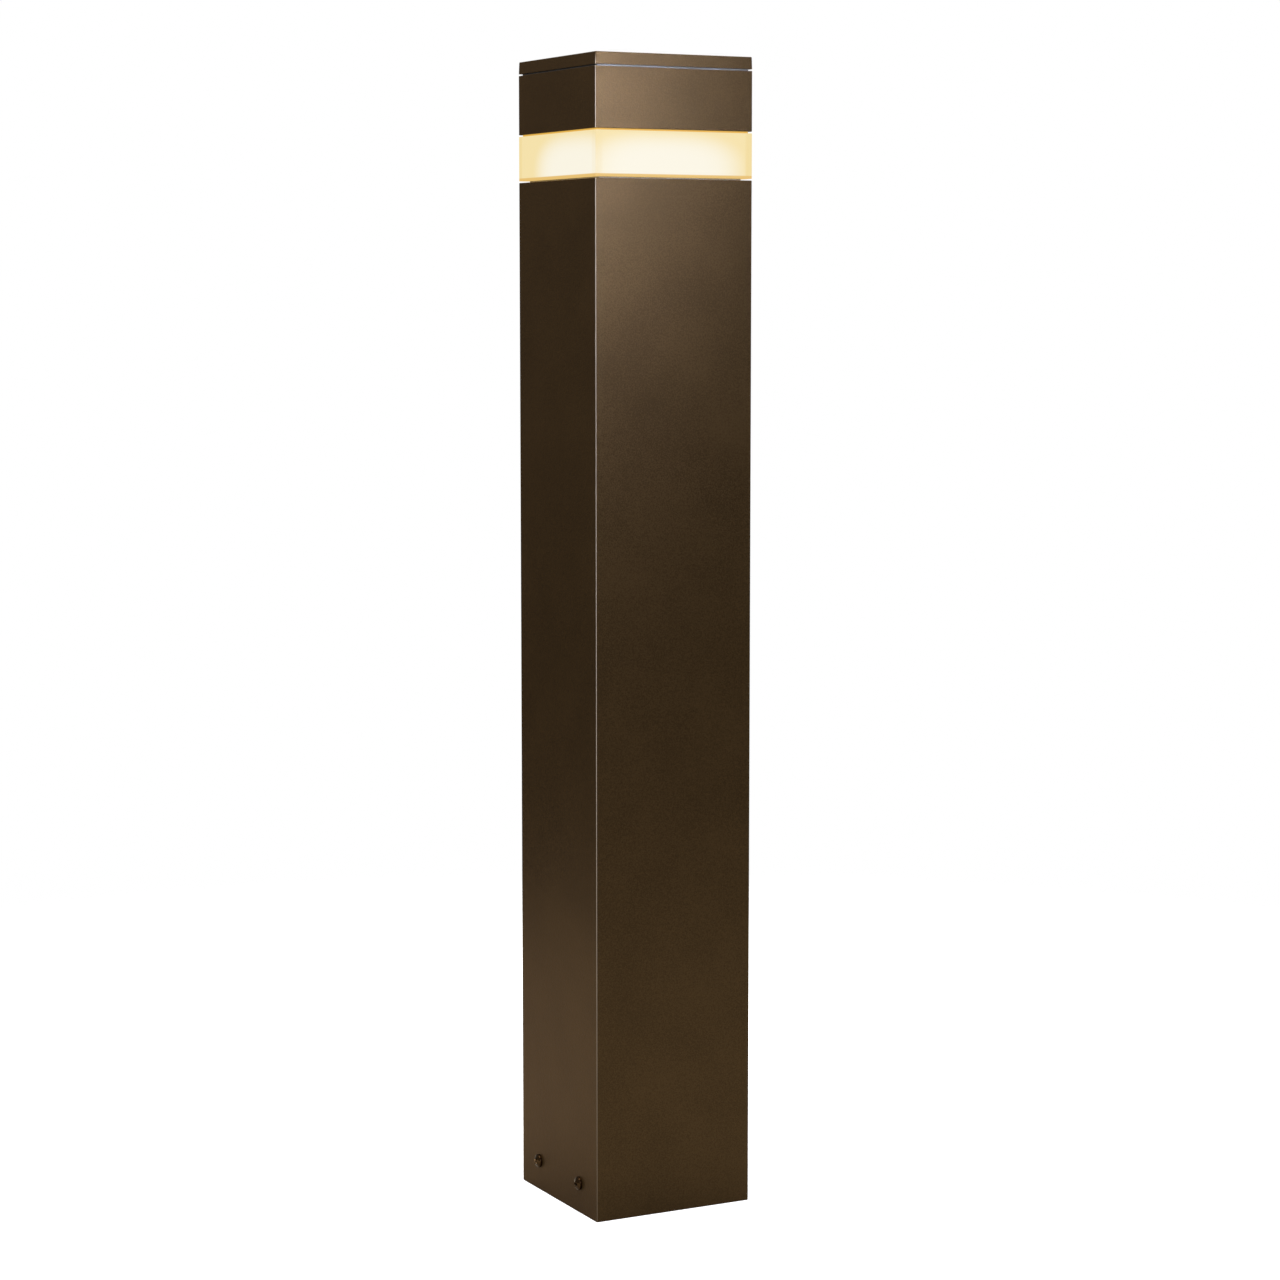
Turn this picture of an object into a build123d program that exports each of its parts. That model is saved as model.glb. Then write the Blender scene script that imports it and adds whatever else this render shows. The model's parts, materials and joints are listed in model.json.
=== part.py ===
from build123d import *
from math import radians, tan
import os

# Square bollard light: an aluminium column, a frosted lens band, a head band and a lift-off cap.
# Millimetres. The origin is the centre of the footprint at ground level and +Z is up. The front
# face is -Y, and the base screws go into the two X faces.

os.makedirs("parts", exist_ok=True)

# ---------------------------------------------------------------- outside
WIDTH = 152.4              # side of the square section, 6 in
HEIGHT = 1016.0            # ground to the top of the cap, 40 in
CAP_HEIGHT = 10.5          # outer rim of the cap
HEAD_HEIGHT = 52.0         # metal band above the lens
LENS_HEIGHT = 39.0         # lit band
REVEAL = 1.5               # shadow gap between neighbouring bands
EDGE_RADIUS = 0.9          # upright corners of every band
RIM_CHAMFER = 0.3          # broken edge around each band's rims

HALF = WIDTH / 2
CAP_BOTTOM = HEIGHT - CAP_HEIGHT
HEAD_TOP = CAP_BOTTOM - REVEAL
HEAD_BOTTOM = HEAD_TOP - HEAD_HEIGHT
LENS_TOP = HEAD_BOTTOM - REVEAL
LENS_BOTTOM = LENS_TOP - LENS_HEIGHT
COLUMN_TOP = LENS_BOTTOM - REVEAL

# ---------------------------------------------------------------- walls
COLUMN_WALL = 3.2
COLUMN_BORE = WIDTH - 2 * COLUMN_WALL
BORE_RADIUS = 0.6          # inside corners of the column
HEAD_WALL = 2.2
HEAD_BORE = WIDTH - 2 * HEAD_WALL
LENS_WALL = 6.4
LENS_BORE = WIDTH - 2 * LENS_WALL
CORNER_RADIUS = 1.0        # inside corners of the lens and head

# ---------------------------------------------------------------- anchor base
BASE_WIDTH = 145.2         # slides into the column
BASE_THICKNESS = 10.0
ANCHOR_SPACING = 88.9      # 3.5 in square pattern
ANCHOR_RADIUS = 5.5        # for a 3/8 in or M10 anchor bolt
CONDUIT_RADIUS = 31.75     # 2.5 in opening for the conduit stub
LUG_FACE = 72.8            # outer face of each side lug, from the centre
LUG_THICKNESS = 10.8
LUG_WIDTH = 112.0
LUG_HEIGHT = 32.0
GUSSET_REACH = 18.0
GUSSET_SPACING = 36.0
GUSSET_THICKNESS = 6.0
BASE_CORNER = 3.0
LUG_EDGE = 1.5
GROUND_SCREW = (27.0, 52.0)
GROUND_FLANGE_RADIUS = 5.0
GROUND_FLANGE = 1.2
GROUND_FLATS = 7.0
GROUND_HEAD = 4.6
GROUND_SCREW_DEPTH = 8.0

# ---------------------------------------------------------------- screws shared by several parts
THREAD_GAP = 0.05          # between a thread and its tapped hole
M3_RADIUS = 1.5
M3_TAPPED = 1.55
M3_CLEARANCE = 1.7
M3_HEAD_RADIUS = 2.8
M3_HEAD = 2.0
M3_RECESS = 1.1
M4_RADIUS = 2.0
M4_TAPPED = 2.05
M4_CLEARANCE = 2.2
M4_HEAD_RADIUS = 3.8
M4_HEAD = 2.6
M4_RECESS = 1.4
M4_LENGTH = 7.0
PAN_SIDE = 0.45            # upright share of a pan head's height
RECESS_ARM = 1.1           # length and width of the cross recess, over the head's radius
RECESS_SLOT = 0.26
RECESS_TAPER = 12

# ---------------------------------------------------------------- base screws
BASE_SCREW_HEIGHT = 26.5
BASE_SCREW_SPACING = 82.0
BASE_SCREW_LENGTH = 16.0
BASE_SCREW_RADIUS = 2.7
BASE_SCREW_GAP = 0.3       # round the shank in the column's wall
BASE_HEAD_RADIUS = 6.0
BASE_HEAD_HEIGHT = 4.2
BASE_RECESS = 2.4

# ---------------------------------------------------------------- deck, posts and lens chamber
DECK_THICKNESS = 8.0
DECK_BOTTOM = COLUMN_TOP - DECK_THICKNESS
POST_SPACING = 116.0       # tie posts on a square
POST_RADIUS = 4.0
THREAD_RADIUS = 2.5        # M5 hardware
TAPPED_RADIUS = 2.55
CLEARANCE_RADIUS = 2.75
DECK_HEAD_RADIUS = 4.25
DECK_HEAD = 5.0
DECK_SOCKET_FLATS = 4.0
DECK_SOCKET = 2.6
DECK_SCREW_REACH = 10.0    # into each tie post
LOWER_GASKET_WIDTH = 138.4
LOWER_GASKET_RADIUS = 1.5
UPPER_GASKET_WIDTH = 146.8
FOOT_BORE = 128.0          # lens foot flange, inside
FOOT_HEIGHT = 4.0
GASKET_THICKNESS = 1.5
TONGUE_WIDTH = 147.2       # lens tongue that rises into the head
TONGUE_HEIGHT = 5.5

WIREWAY_RADIUS = 8.0       # hollow stem that carries the leads
WIREWAY_BORE = 6.0
WIREWAY_HOLE = 8.15
WIREWAY_DROP = 7.0         # stem below the deck
WIREWAY_RISE = 9.5         # stem above the light plate
LOCKNUT_FLATS = 24.0
LOCKNUT_HEIGHT = 4.5
BUSHING_DEPTH = 8.0
BUSHING_LIP = 2.0
BUSHING_EDGE = 1.0
BUSHING_BORE = 4.6

REFLECTOR_SHEET = 1.2
REFLECTOR_RADIUS = 60.0
REFLECTOR_FOOT = 51.0      # cone radius where it leaves its flange
REFLECTOR_NECK = 9.2       # cone radius at the stem, outside
REFLECTOR_THROAT = 8.3     # and inside
REFLECTOR_RISE = 34.0
REFLECTOR_BELLY = 8.5      # how far the cone's curve hangs inside a straight cone
REFLECTOR_SCREW_CIRCLE = 56.0
REFLECTOR_SCREW_LENGTH = 7.0

# ---------------------------------------------------------------- light engine
PLATE_WIDTH = 147.2
PLATE_THICKNESS = 5.0
PLATE_BOTTOM = LENS_TOP + TONGUE_HEIGHT + GASKET_THICKNESS
PLATE_TOP = PLATE_BOTTOM + PLATE_THICKNESS
BOARD_WIDTH = 100.0
BOARD_THICKNESS = 1.6
BOARD_BOTTOM = PLATE_BOTTOM - BOARD_THICKNESS
BOARD_CORNER = 3.0
BOARD_STEM_GAP = 1.5
BOARD_SCREW_SPACING = 90.0
BOARD_SCREW_LENGTH = 6.0
LED_SIZE = 3.0
LED_THICKNESS = 0.7
LED_RINGS = ((26.0, 12), (38.0, 18))    # ring radius and packages on it
CONNECTOR_PLACE = (-30.0, 0.0)
CONNECTOR_LENGTH = 14.0
CONNECTOR_WIDTH = 8.0
CONNECTOR_HEIGHT = 8.0
CONNECTOR_GAP = 1.0        # to the edge of its window in the plate
CONNECTOR_WINDOW_RADIUS = 1.5
CONNECTOR_EDGE = 0.8

# ---------------------------------------------------------------- head, cap and driver
LEDGE_BORE = 128.0         # inner ledge of the head, inside
LEDGE_THICKNESS = 3.0
LEDGE_RADIUS = 4.0
HEAD_SCREW_REACH = 69.0
STANDOFF_FLATS = 8.0
STANDOFF_TOP = HEAD_TOP - 2.0
STANDOFF_STUD = 12.0
STANDOFF_TAPPING = 22.0

CAP_DRAFT = 0.35           # how much each side leans in at the top
CAP_TOP_THICKNESS = 3.5
CAP_TOP_RADIUS = 0.7
SPIGOT_WIDTH = 147.4
SPIGOT_BORE = 140.0
SPIGOT_BORE_RADIUS = 3.0
SPIGOT_DEPTH = 7.0
CAP_GROOVE_WIDTH = 143.4
CAP_GROOVE_TOP = 2.0       # below the cap's rim
CAP_GASKET_HEIGHT = 3.0
CAP_GASKET_WIDTH = 147.8
BOSS_RADIUS = 6.5
RIB_THICKNESS = 2.4
RIB_DEPTH = 4.0
CAP_SCREW_HEAD = 5.2
CAP_SCREW_LAND = 0.3       # upright edge of the countersunk head
CAP_SCREW_LENGTH = 28.0
CAP_SCREW_POINT = 1.0      # bevel at the tip
CAP_SOCKET_FLATS = 3.2
CAP_SOCKET = 2.0
CAP_SOCKET_PIN = 0.5       # radius of the pin that bars a plain key
CSK_ANGLE = 90
WASHER_RADIUS = 4.4
WASHER_SEAT = 4.7
WASHER_THICKNESS = 1.0
WASHER_SEAT_DEPTH = 1.3
WASHER_LIFT = 0.15         # above the standoff

DRIVER_LENGTH = 94.0
DRIVER_WIDTH = 36.0
DRIVER_HEIGHT = 27.5
DRIVER_Y = 34.0
DRIVER_CORNER = 2.5
DRIVER_EDGE = 1.2
EAR_SPAN = 112.0
EAR_WIDTH = 16.0
EAR_THICKNESS = 2.5
EAR_CORNER = 4.0
EAR_HOLE_SPACING = 103.0

# ---------------------------------------------------------------- terminal block and clips
BRACKET_WIDTH = 36.0
BRACKET_FOOT = 22.0
BRACKET_HEIGHT = 74.0
BRACKET_SHEET = 2.0
BRACKET_FACE = 58.0        # inner face of the upright, from the centre
BRACKET_SCREW_SPACING = 24.0
BRACKET_SCREW_Y = 45.0
BRACKET_SCREW_LENGTH = 9.0
BRACKET_CORNER = 4.0
BLOCK_LENGTH = 30.0
BLOCK_DEPTH = 16.0
BLOCK_HEIGHT = 22.0
BLOCK_BOTTOM = 56.0
BLOCK_EDGE = 3.0
POLE_PITCH = 9.0
POLE_ROWS = 9.0
POLE_RADIUS = 2.2
POLE_RECESS = 4.0
POLE_SOCKET = 5.0
CLIP_LENGTH = 22.0
CLIP_DEPTH = 6.0
CLIP_HEIGHT = 10.0
CLIP_CORNER = 1.5
CLIP_SLACK = 0.4
CLIP_HEIGHTS = (180.0, 470.0, 760.0)

# ---------------------------------------------------------------- leads
LEAD_RADIUS = 1.3
LED_LEAD_RADIUS = 0.9
LEAD_WALL_Y = 69.4         # leads along the column's rear wall
LEAD_WALL_PITCH = 3.2
LEAD_BEND = 8.0
LEAD_SWEEP = 20.0          # wider bends, under the deck and out of the stem
LEAD_TAIL = 24.0           # straight run out of the terminal block
LEAD_TO_WALL = 70.0        # above the block, where a lead meets the wall
LEAD_OFF_WALL = 74.0       # below the deck, where it leaves the wall
LEAD_TO_STEM = 18.0        # below the deck, where it lines up with the stem
LEAD_LOOP_X = 32.0
LEAD_LOOP_FALL = 4.0
LEAD_EXIT = 13.5           # above the light plate
LED_LEAD_BENDS = (4.5, 6.0, 6.0)
LED_LEAD_EXIT = 10.0
LED_LEAD_RISE = 8.0


def square_band(outer, bore, outer_radius, bore_radius):
    """Square ring in the active sketch."""
    RectangleRounded(outer, outer, outer_radius)
    RectangleRounded(bore, bore, bore_radius, mode=Mode.SUBTRACT)


def pan_head_screw(head_radius, head_height, shank_radius, shank_length, recess_depth):
    """Domed screw on Z: the head's underside is at 0, the shank runs down, the top is recessed."""
    side = PAN_SIDE * head_height
    with BuildPart() as screw:
        with BuildSketch(Plane.XZ):
            with BuildLine():
                Polyline((0, head_height), (0, -shank_length), (shank_radius, -shank_length),
                         (shank_radius, 0), (head_radius, 0), (head_radius, side))
                TangentArc((0, head_height), (head_radius, side), tangent=(1, 0))
            make_face()
        revolve(axis=Axis.Z)
        with BuildSketch(Plane.XY.offset(head_height)):
            Rectangle(RECESS_ARM * head_radius, RECESS_SLOT * head_radius)
            Rectangle(RECESS_SLOT * head_radius, RECESS_ARM * head_radius)
        extrude(amount=-recess_depth, taper=RECESS_TAPER, mode=Mode.SUBTRACT)
    return screw.part


def lead(points, bends, lead_radius):
    """Round insulated wire: straight runs joined by tangent arcs."""
    start = Vector(*points[0])
    heading = Vector(*points[1]) - start
    with BuildPart() as wire:
        with BuildLine():
            FilletPolyline(*points, radius=bends)
        with BuildSketch(Plane(origin=start, z_dir=heading)):
            Circle(lead_radius)
        sweep()
    return wire.part


def widest_bend(before, corner, after):
    """Radius of the largest comfortable arc at a corner: 0.45 of the shorter run."""
    run_in = Vector(*corner) - Vector(*before)
    run_out = Vector(*after) - Vector(*corner)
    turn = radians(run_in.get_angle(run_out))
    return 0.45 * min(run_in.length, run_out.length) / tan(turn / 2)


# ================================================================ anchor base
with BuildPart() as anchor_base:
    with BuildSketch():
        RectangleRounded(BASE_WIDTH, BASE_WIDTH, BASE_CORNER)
    extrude(amount=BASE_THICKNESS)
    with BuildSketch(Plane.XY.offset(BASE_THICKNESS)):
        with GridLocations(2 * LUG_FACE - LUG_THICKNESS, 0, 2, 1):
            Rectangle(LUG_THICKNESS, LUG_WIDTH)
    extrude(amount=LUG_HEIGHT)
    with BuildSketch(Plane.XZ.offset(GUSSET_SPACING / 2), Plane.XZ.offset(-GUSSET_SPACING / 2)):
        with BuildLine():
            Polyline((LUG_FACE - LUG_THICKNESS, BASE_THICKNESS),
                     (LUG_FACE - LUG_THICKNESS - GUSSET_REACH, BASE_THICKNESS),
                     (LUG_FACE - LUG_THICKNESS, BASE_THICKNESS + GUSSET_REACH), close=True)
        make_face()
        mirror(about=Plane.YZ)
    extrude(amount=GUSSET_THICKNESS / 2, both=True)
    lug_tops = anchor_base.faces().sort_by(Axis.Z)[-2:]
    fillet(lug_tops.edges(), radius=LUG_EDGE)
    with BuildSketch():
        Circle(CONDUIT_RADIUS)
        with GridLocations(ANCHOR_SPACING, ANCHOR_SPACING, 2, 2):
            Circle(ANCHOR_RADIUS)
        with Locations(GROUND_SCREW):
            Circle(M4_TAPPED)
        with Locations((0, BRACKET_SCREW_Y)):
            with GridLocations(BRACKET_SCREW_SPACING, 0, 2, 1):
                Circle(M3_TAPPED)
    extrude(amount=BASE_THICKNESS, mode=Mode.SUBTRACT)
    with BuildSketch(Plane.YZ):
        with Locations((0, BASE_SCREW_HEIGHT)):
            with GridLocations(BASE_SCREW_SPACING, 0, 2, 1):
                Circle(BASE_SCREW_RADIUS + THREAD_GAP)
    extrude(amount=HALF, both=True, mode=Mode.SUBTRACT)
anchor_base.part.label = "anchor_base"
export_step(anchor_base.part, "parts/anchor_base.step")

# ================================================================ ground screw
with BuildPart() as ground_screw:
    with BuildSketch(Plane.XY.offset(BASE_THICKNESS)):
        with Locations(GROUND_SCREW):
            Circle(GROUND_FLANGE_RADIUS)
    extrude(amount=GROUND_FLANGE)
    with BuildSketch(Plane.XY.offset(BASE_THICKNESS)):
        with Locations(GROUND_SCREW):
            RegularPolygon(radius=GROUND_FLATS / 2, side_count=6, major_radius=False)
    extrude(amount=GROUND_HEAD)
    with BuildSketch(Plane.XY.offset(BASE_THICKNESS)):
        with Locations(GROUND_SCREW):
            Circle(M4_RADIUS)
    extrude(amount=-GROUND_SCREW_DEPTH)
ground_screw.part.label = "ground_screw"
export_step(ground_screw.part, "parts/ground_screw.step")

# ================================================================ column
with BuildPart() as column:
    with BuildSketch():
        square_band(WIDTH, COLUMN_BORE, EDGE_RADIUS, BORE_RADIUS)
    extrude(amount=COLUMN_TOP)
    top_rim = column.faces().sort_by(Axis.Z)[-1].outer_wire().edges()
    chamfer(top_rim, length=RIM_CHAMFER)
    with BuildSketch(Plane.YZ):
        with Locations((0, BASE_SCREW_HEIGHT)):
            with GridLocations(BASE_SCREW_SPACING, 0, 2, 1):
                Circle(BASE_SCREW_RADIUS + BASE_SCREW_GAP)
    extrude(amount=WIDTH, both=True, mode=Mode.SUBTRACT)
column.part.label = "column"
export_step(column.part, "parts/column.step")

# ================================================================ base screws
base_screw = pan_head_screw(BASE_HEAD_RADIUS, BASE_HEAD_HEIGHT, BASE_SCREW_RADIUS,
                            BASE_SCREW_LENGTH, BASE_RECESS)
with BuildPart() as base_screws:
    for side in (1, -1):
        face = Plane(origin=(side * HALF, 0, BASE_SCREW_HEIGHT), x_dir=(0, 1, 0), z_dir=(side, 0, 0))
        with Locations(face):
            with GridLocations(BASE_SCREW_SPACING, 0, 2, 1):
                add(base_screw)
base_screws.part.label = "base_screws"
export_step(base_screws.part, "parts/base_screws.step")

# ================================================================ terminal bracket, block and screws
with BuildPart() as terminal_bracket:
    with BuildSketch(Plane.YZ):
        with BuildLine():
            Polyline((BRACKET_FACE + BRACKET_SHEET - BRACKET_FOOT, BASE_THICKNESS),
                     (BRACKET_FACE + BRACKET_SHEET, BASE_THICKNESS),
                     (BRACKET_FACE + BRACKET_SHEET, BASE_THICKNESS + BRACKET_HEIGHT),
                     (BRACKET_FACE, BASE_THICKNESS + BRACKET_HEIGHT),
                     (BRACKET_FACE, BASE_THICKNESS + BRACKET_SHEET),
                     (BRACKET_FACE + BRACKET_SHEET - BRACKET_FOOT, BASE_THICKNESS + BRACKET_SHEET),
                     close=True)
        make_face()
    extrude(amount=BRACKET_WIDTH / 2, both=True)
    with BuildSketch(Plane.XY.offset(BASE_THICKNESS)):
        with Locations((0, BRACKET_SCREW_Y)):
            with GridLocations(BRACKET_SCREW_SPACING, 0, 2, 1):
                Circle(M3_CLEARANCE)
    extrude(amount=BRACKET_SHEET, mode=Mode.SUBTRACT)
    upright_corners = terminal_bracket.edges().filter_by(Axis.Y).group_by(Axis.Z)[-1]
    fillet(upright_corners, radius=BRACKET_CORNER)
terminal_bracket.part.label = "terminal_bracket"
export_step(terminal_bracket.part, "parts/terminal_bracket.step")

bracket_screw = pan_head_screw(M3_HEAD_RADIUS, M3_HEAD, M3_RADIUS, BRACKET_SCREW_LENGTH, M3_RECESS)
with BuildPart() as bracket_screws:
    with Locations((0, BRACKET_SCREW_Y, BASE_THICKNESS + BRACKET_SHEET)):
        with GridLocations(BRACKET_SCREW_SPACING, 0, 2, 1):
            add(bracket_screw)
bracket_screws.part.label = "bracket_screws"
export_step(bracket_screws.part, "parts/bracket_screws.step")

BLOCK_Y = BRACKET_FACE - BLOCK_DEPTH / 2
BLOCK_TOP = BLOCK_BOTTOM + BLOCK_HEIGHT
with BuildPart() as terminal_block:
    with BuildSketch(Plane.XY.offset(BLOCK_BOTTOM)):
        with Locations((0, BLOCK_Y)):
            Rectangle(BLOCK_LENGTH, BLOCK_DEPTH)
    extrude(amount=BLOCK_HEIGHT)
    front_edges = terminal_block.edges().filter_by(Axis.X).group_by(Axis.Y)[0]
    chamfer(front_edges, length=BLOCK_EDGE)
    with BuildSketch(Plane.XZ.offset(-(BLOCK_Y - BLOCK_DEPTH / 2))):
        with Locations((0, BLOCK_BOTTOM + BLOCK_HEIGHT / 2)):
            with GridLocations(POLE_PITCH, POLE_ROWS, 3, 2):
                Circle(POLE_RADIUS)
    extrude(amount=-POLE_RECESS, mode=Mode.SUBTRACT)
    with BuildSketch(Plane.XY.offset(BLOCK_BOTTOM)):
        with Locations((0, BLOCK_Y)):
            with GridLocations(POLE_PITCH, 0, 3, 1):
                Circle(POLE_RADIUS)
    extrude(amount=POLE_SOCKET, mode=Mode.SUBTRACT)
terminal_block.part.label = "terminal_block"
export_step(terminal_block.part, "parts/terminal_block.step")

# ================================================================ lead clips on the rear wall
with BuildPart() as lead_clips:
    for height in CLIP_HEIGHTS:
        with BuildSketch(Plane.XY.offset(height)):
            with Locations((0, COLUMN_BORE / 2 - CLIP_DEPTH / 2)):
                RectangleRounded(CLIP_LENGTH, CLIP_DEPTH, CLIP_CORNER)
            with Locations((0, LEAD_WALL_Y)):
                Rectangle(3 * LEAD_WALL_PITCH + CLIP_SLACK, 2 * LEAD_RADIUS + CLIP_SLACK,
                          mode=Mode.SUBTRACT)
        extrude(amount=CLIP_HEIGHT)
lead_clips.part.label = "lead_clips"
export_step(lead_clips.part, "parts/lead_clips.step")

# ================================================================ deck plate
with BuildPart() as deck_plate:
    with BuildSketch(Plane.XY.offset(DECK_BOTTOM)):
        RectangleRounded(COLUMN_BORE, COLUMN_BORE, BORE_RADIUS)
        Circle(WIREWAY_HOLE, mode=Mode.SUBTRACT)
        with GridLocations(POST_SPACING, POST_SPACING, 2, 2):
            Circle(CLEARANCE_RADIUS, mode=Mode.SUBTRACT)
        with PolarLocations(REFLECTOR_SCREW_CIRCLE, 4):
            Circle(M3_TAPPED, mode=Mode.SUBTRACT)
    extrude(amount=DECK_THICKNESS)
deck_plate.part.label = "deck_plate"
export_step(deck_plate.part, "parts/deck_plate.step")

# ================================================================ deck screws, up into the tie posts
with BuildPart() as deck_screws:
    with BuildSketch(Plane.XY.offset(DECK_BOTTOM - DECK_HEAD)):
        with GridLocations(POST_SPACING, POST_SPACING, 2, 2):
            Circle(DECK_HEAD_RADIUS)
    extrude(amount=DECK_HEAD)
    with BuildSketch(Plane.XY.offset(DECK_BOTTOM)):
        with GridLocations(POST_SPACING, POST_SPACING, 2, 2):
            Circle(THREAD_RADIUS)
    extrude(amount=DECK_THICKNESS + DECK_SCREW_REACH)
    with BuildSketch(Plane.XY.offset(DECK_BOTTOM - DECK_HEAD)):
        with GridLocations(POST_SPACING, POST_SPACING, 2, 2):
            RegularPolygon(radius=DECK_SOCKET_FLATS / 2, side_count=6, major_radius=False)
    extrude(amount=DECK_SOCKET, mode=Mode.SUBTRACT)
deck_screws.part.label = "deck_screws"
export_step(deck_screws.part, "parts/deck_screws.step")

# ================================================================ tie posts
with BuildPart() as tie_posts:
    with BuildSketch(Plane.XY.offset(COLUMN_TOP)):
        with GridLocations(POST_SPACING, POST_SPACING, 2, 2):
            Circle(POST_RADIUS)
            Circle(TAPPED_RADIUS, mode=Mode.SUBTRACT)
    extrude(amount=PLATE_BOTTOM - COLUMN_TOP)
tie_posts.part.label = "tie_posts"
export_step(tie_posts.part, "parts/tie_posts.step")

# ================================================================ lens and its gaskets
with BuildPart() as lower_gasket:
    with BuildSketch(Plane.XY.offset(COLUMN_TOP)):
        square_band(LOWER_GASKET_WIDTH, FOOT_BORE, LOWER_GASKET_RADIUS, CORNER_RADIUS)
    extrude(amount=GASKET_THICKNESS)
lower_gasket.part.label = "lower_gasket"
export_step(lower_gasket.part, "parts/lower_gasket.step")

with BuildPart() as lens:
    with BuildSketch(Plane.XY.offset(LENS_BOTTOM)):
        square_band(WIDTH, FOOT_BORE, EDGE_RADIUS, CORNER_RADIUS)
    extrude(amount=FOOT_HEIGHT)
    with BuildSketch(Plane.XY.offset(LENS_BOTTOM + FOOT_HEIGHT)):
        square_band(WIDTH, LENS_BORE, EDGE_RADIUS, CORNER_RADIUS)
    extrude(amount=LENS_HEIGHT - FOOT_HEIGHT)
    with BuildSketch(Plane.XY.offset(LENS_TOP)):
        square_band(TONGUE_WIDTH, LENS_BORE, EDGE_RADIUS, CORNER_RADIUS)
    extrude(amount=TONGUE_HEIGHT)
    lens_foot = lens.faces().sort_by(Axis.Z)[0].outer_wire().edges()
    chamfer(lens_foot, length=RIM_CHAMFER)
lens.part.label = "lens"
export_step(lens.part, "parts/lens.step")

with BuildPart() as upper_gasket:
    with BuildSketch(Plane.XY.offset(LENS_TOP + TONGUE_HEIGHT)):
        square_band(UPPER_GASKET_WIDTH, LENS_BORE, EDGE_RADIUS, CORNER_RADIUS)
    extrude(amount=GASKET_THICKNESS)
upper_gasket.part.label = "upper_gasket"
export_step(upper_gasket.part, "parts/upper_gasket.step")

# ================================================================ reflector cone and its screws
with BuildPart() as lower_reflector:
    with BuildSketch(Plane.XZ):
        with BuildLine():
            neck = (REFLECTOR_NECK, COLUMN_TOP + REFLECTOR_SHEET + REFLECTOR_RISE)
            foot = (REFLECTOR_FOOT, COLUMN_TOP + REFLECTOR_SHEET)
            SagittaArc(neck, foot, -REFLECTOR_BELLY)
            rim_top = Line(foot, (REFLECTOR_RADIUS, COLUMN_TOP + REFLECTOR_SHEET))
            rim = Line(rim_top @ 1, (REFLECTOR_RADIUS, COLUMN_TOP))
            under = Line(rim @ 1, (REFLECTOR_FOOT - REFLECTOR_SHEET, COLUMN_TOP))
            back = SagittaArc(under @ 1, (REFLECTOR_THROAT, neck[1] - REFLECTOR_SHEET),
                              REFLECTOR_BELLY)
            Line(back @ 1, neck)
        make_face()
    revolve(axis=Axis.Z)
    with BuildSketch(Plane.XY.offset(COLUMN_TOP)):
        with PolarLocations(REFLECTOR_SCREW_CIRCLE, 4):
            Circle(M3_CLEARANCE)
    extrude(amount=REFLECTOR_SHEET, mode=Mode.SUBTRACT)
lower_reflector.part.label = "lower_reflector"
export_step(lower_reflector.part, "parts/lower_reflector.step")

reflector_screw = pan_head_screw(M3_HEAD_RADIUS, M3_HEAD, M3_RADIUS, REFLECTOR_SCREW_LENGTH, M3_RECESS)
with BuildPart() as reflector_screws:
    with Locations((0, 0, COLUMN_TOP + REFLECTOR_SHEET)):
        with PolarLocations(REFLECTOR_SCREW_CIRCLE, 4):
            add(reflector_screw)
reflector_screws.part.label = "reflector_screws"
export_step(reflector_screws.part, "parts/reflector_screws.step")

# ================================================================ hollow stem, locknuts and bushing
STEM_BOTTOM = DECK_BOTTOM - WIREWAY_DROP
STEM_TOP = PLATE_TOP + WIREWAY_RISE
with BuildPart() as wireway_stem:
    with BuildSketch(Plane.XY.offset(STEM_BOTTOM)):
        Circle(WIREWAY_RADIUS)
        Circle(WIREWAY_BORE, mode=Mode.SUBTRACT)
    extrude(amount=STEM_TOP - STEM_BOTTOM)
wireway_stem.part.label = "wireway_stem"
export_step(wireway_stem.part, "parts/wireway_stem.step")

with BuildPart() as stem_locknuts:
    for seat in (DECK_BOTTOM - LOCKNUT_HEIGHT, PLATE_TOP):
        with BuildSketch(Plane.XY.offset(seat)):
            RegularPolygon(radius=LOCKNUT_FLATS / 2, side_count=6, major_radius=False)
            Circle(WIREWAY_RADIUS + THREAD_GAP, mode=Mode.SUBTRACT)
        extrude(amount=LOCKNUT_HEIGHT)
stem_locknuts.part.label = "stem_locknuts"
export_step(stem_locknuts.part, "parts/stem_locknuts.step")

with BuildPart() as stem_bushing:
    with BuildSketch(Plane.XY.offset(STEM_TOP - BUSHING_DEPTH)):
        Circle(WIREWAY_BORE - THREAD_GAP)
    extrude(amount=BUSHING_DEPTH)
    with BuildSketch(Plane.XY.offset(STEM_TOP)):
        Circle(WIREWAY_RADIUS)
    extrude(amount=BUSHING_LIP)
    bushing_lip = stem_bushing.edges().sort_by(Axis.Z)[-1]
    fillet(bushing_lip, radius=BUSHING_EDGE)
    with BuildSketch(Plane.XY.offset(STEM_TOP - BUSHING_DEPTH)):
        Circle(BUSHING_BORE)
    extrude(amount=BUSHING_DEPTH + BUSHING_LIP, mode=Mode.SUBTRACT)
stem_bushing.part.label = "stem_bushing"
export_step(stem_bushing.part, "parts/stem_bushing.step")

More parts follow.
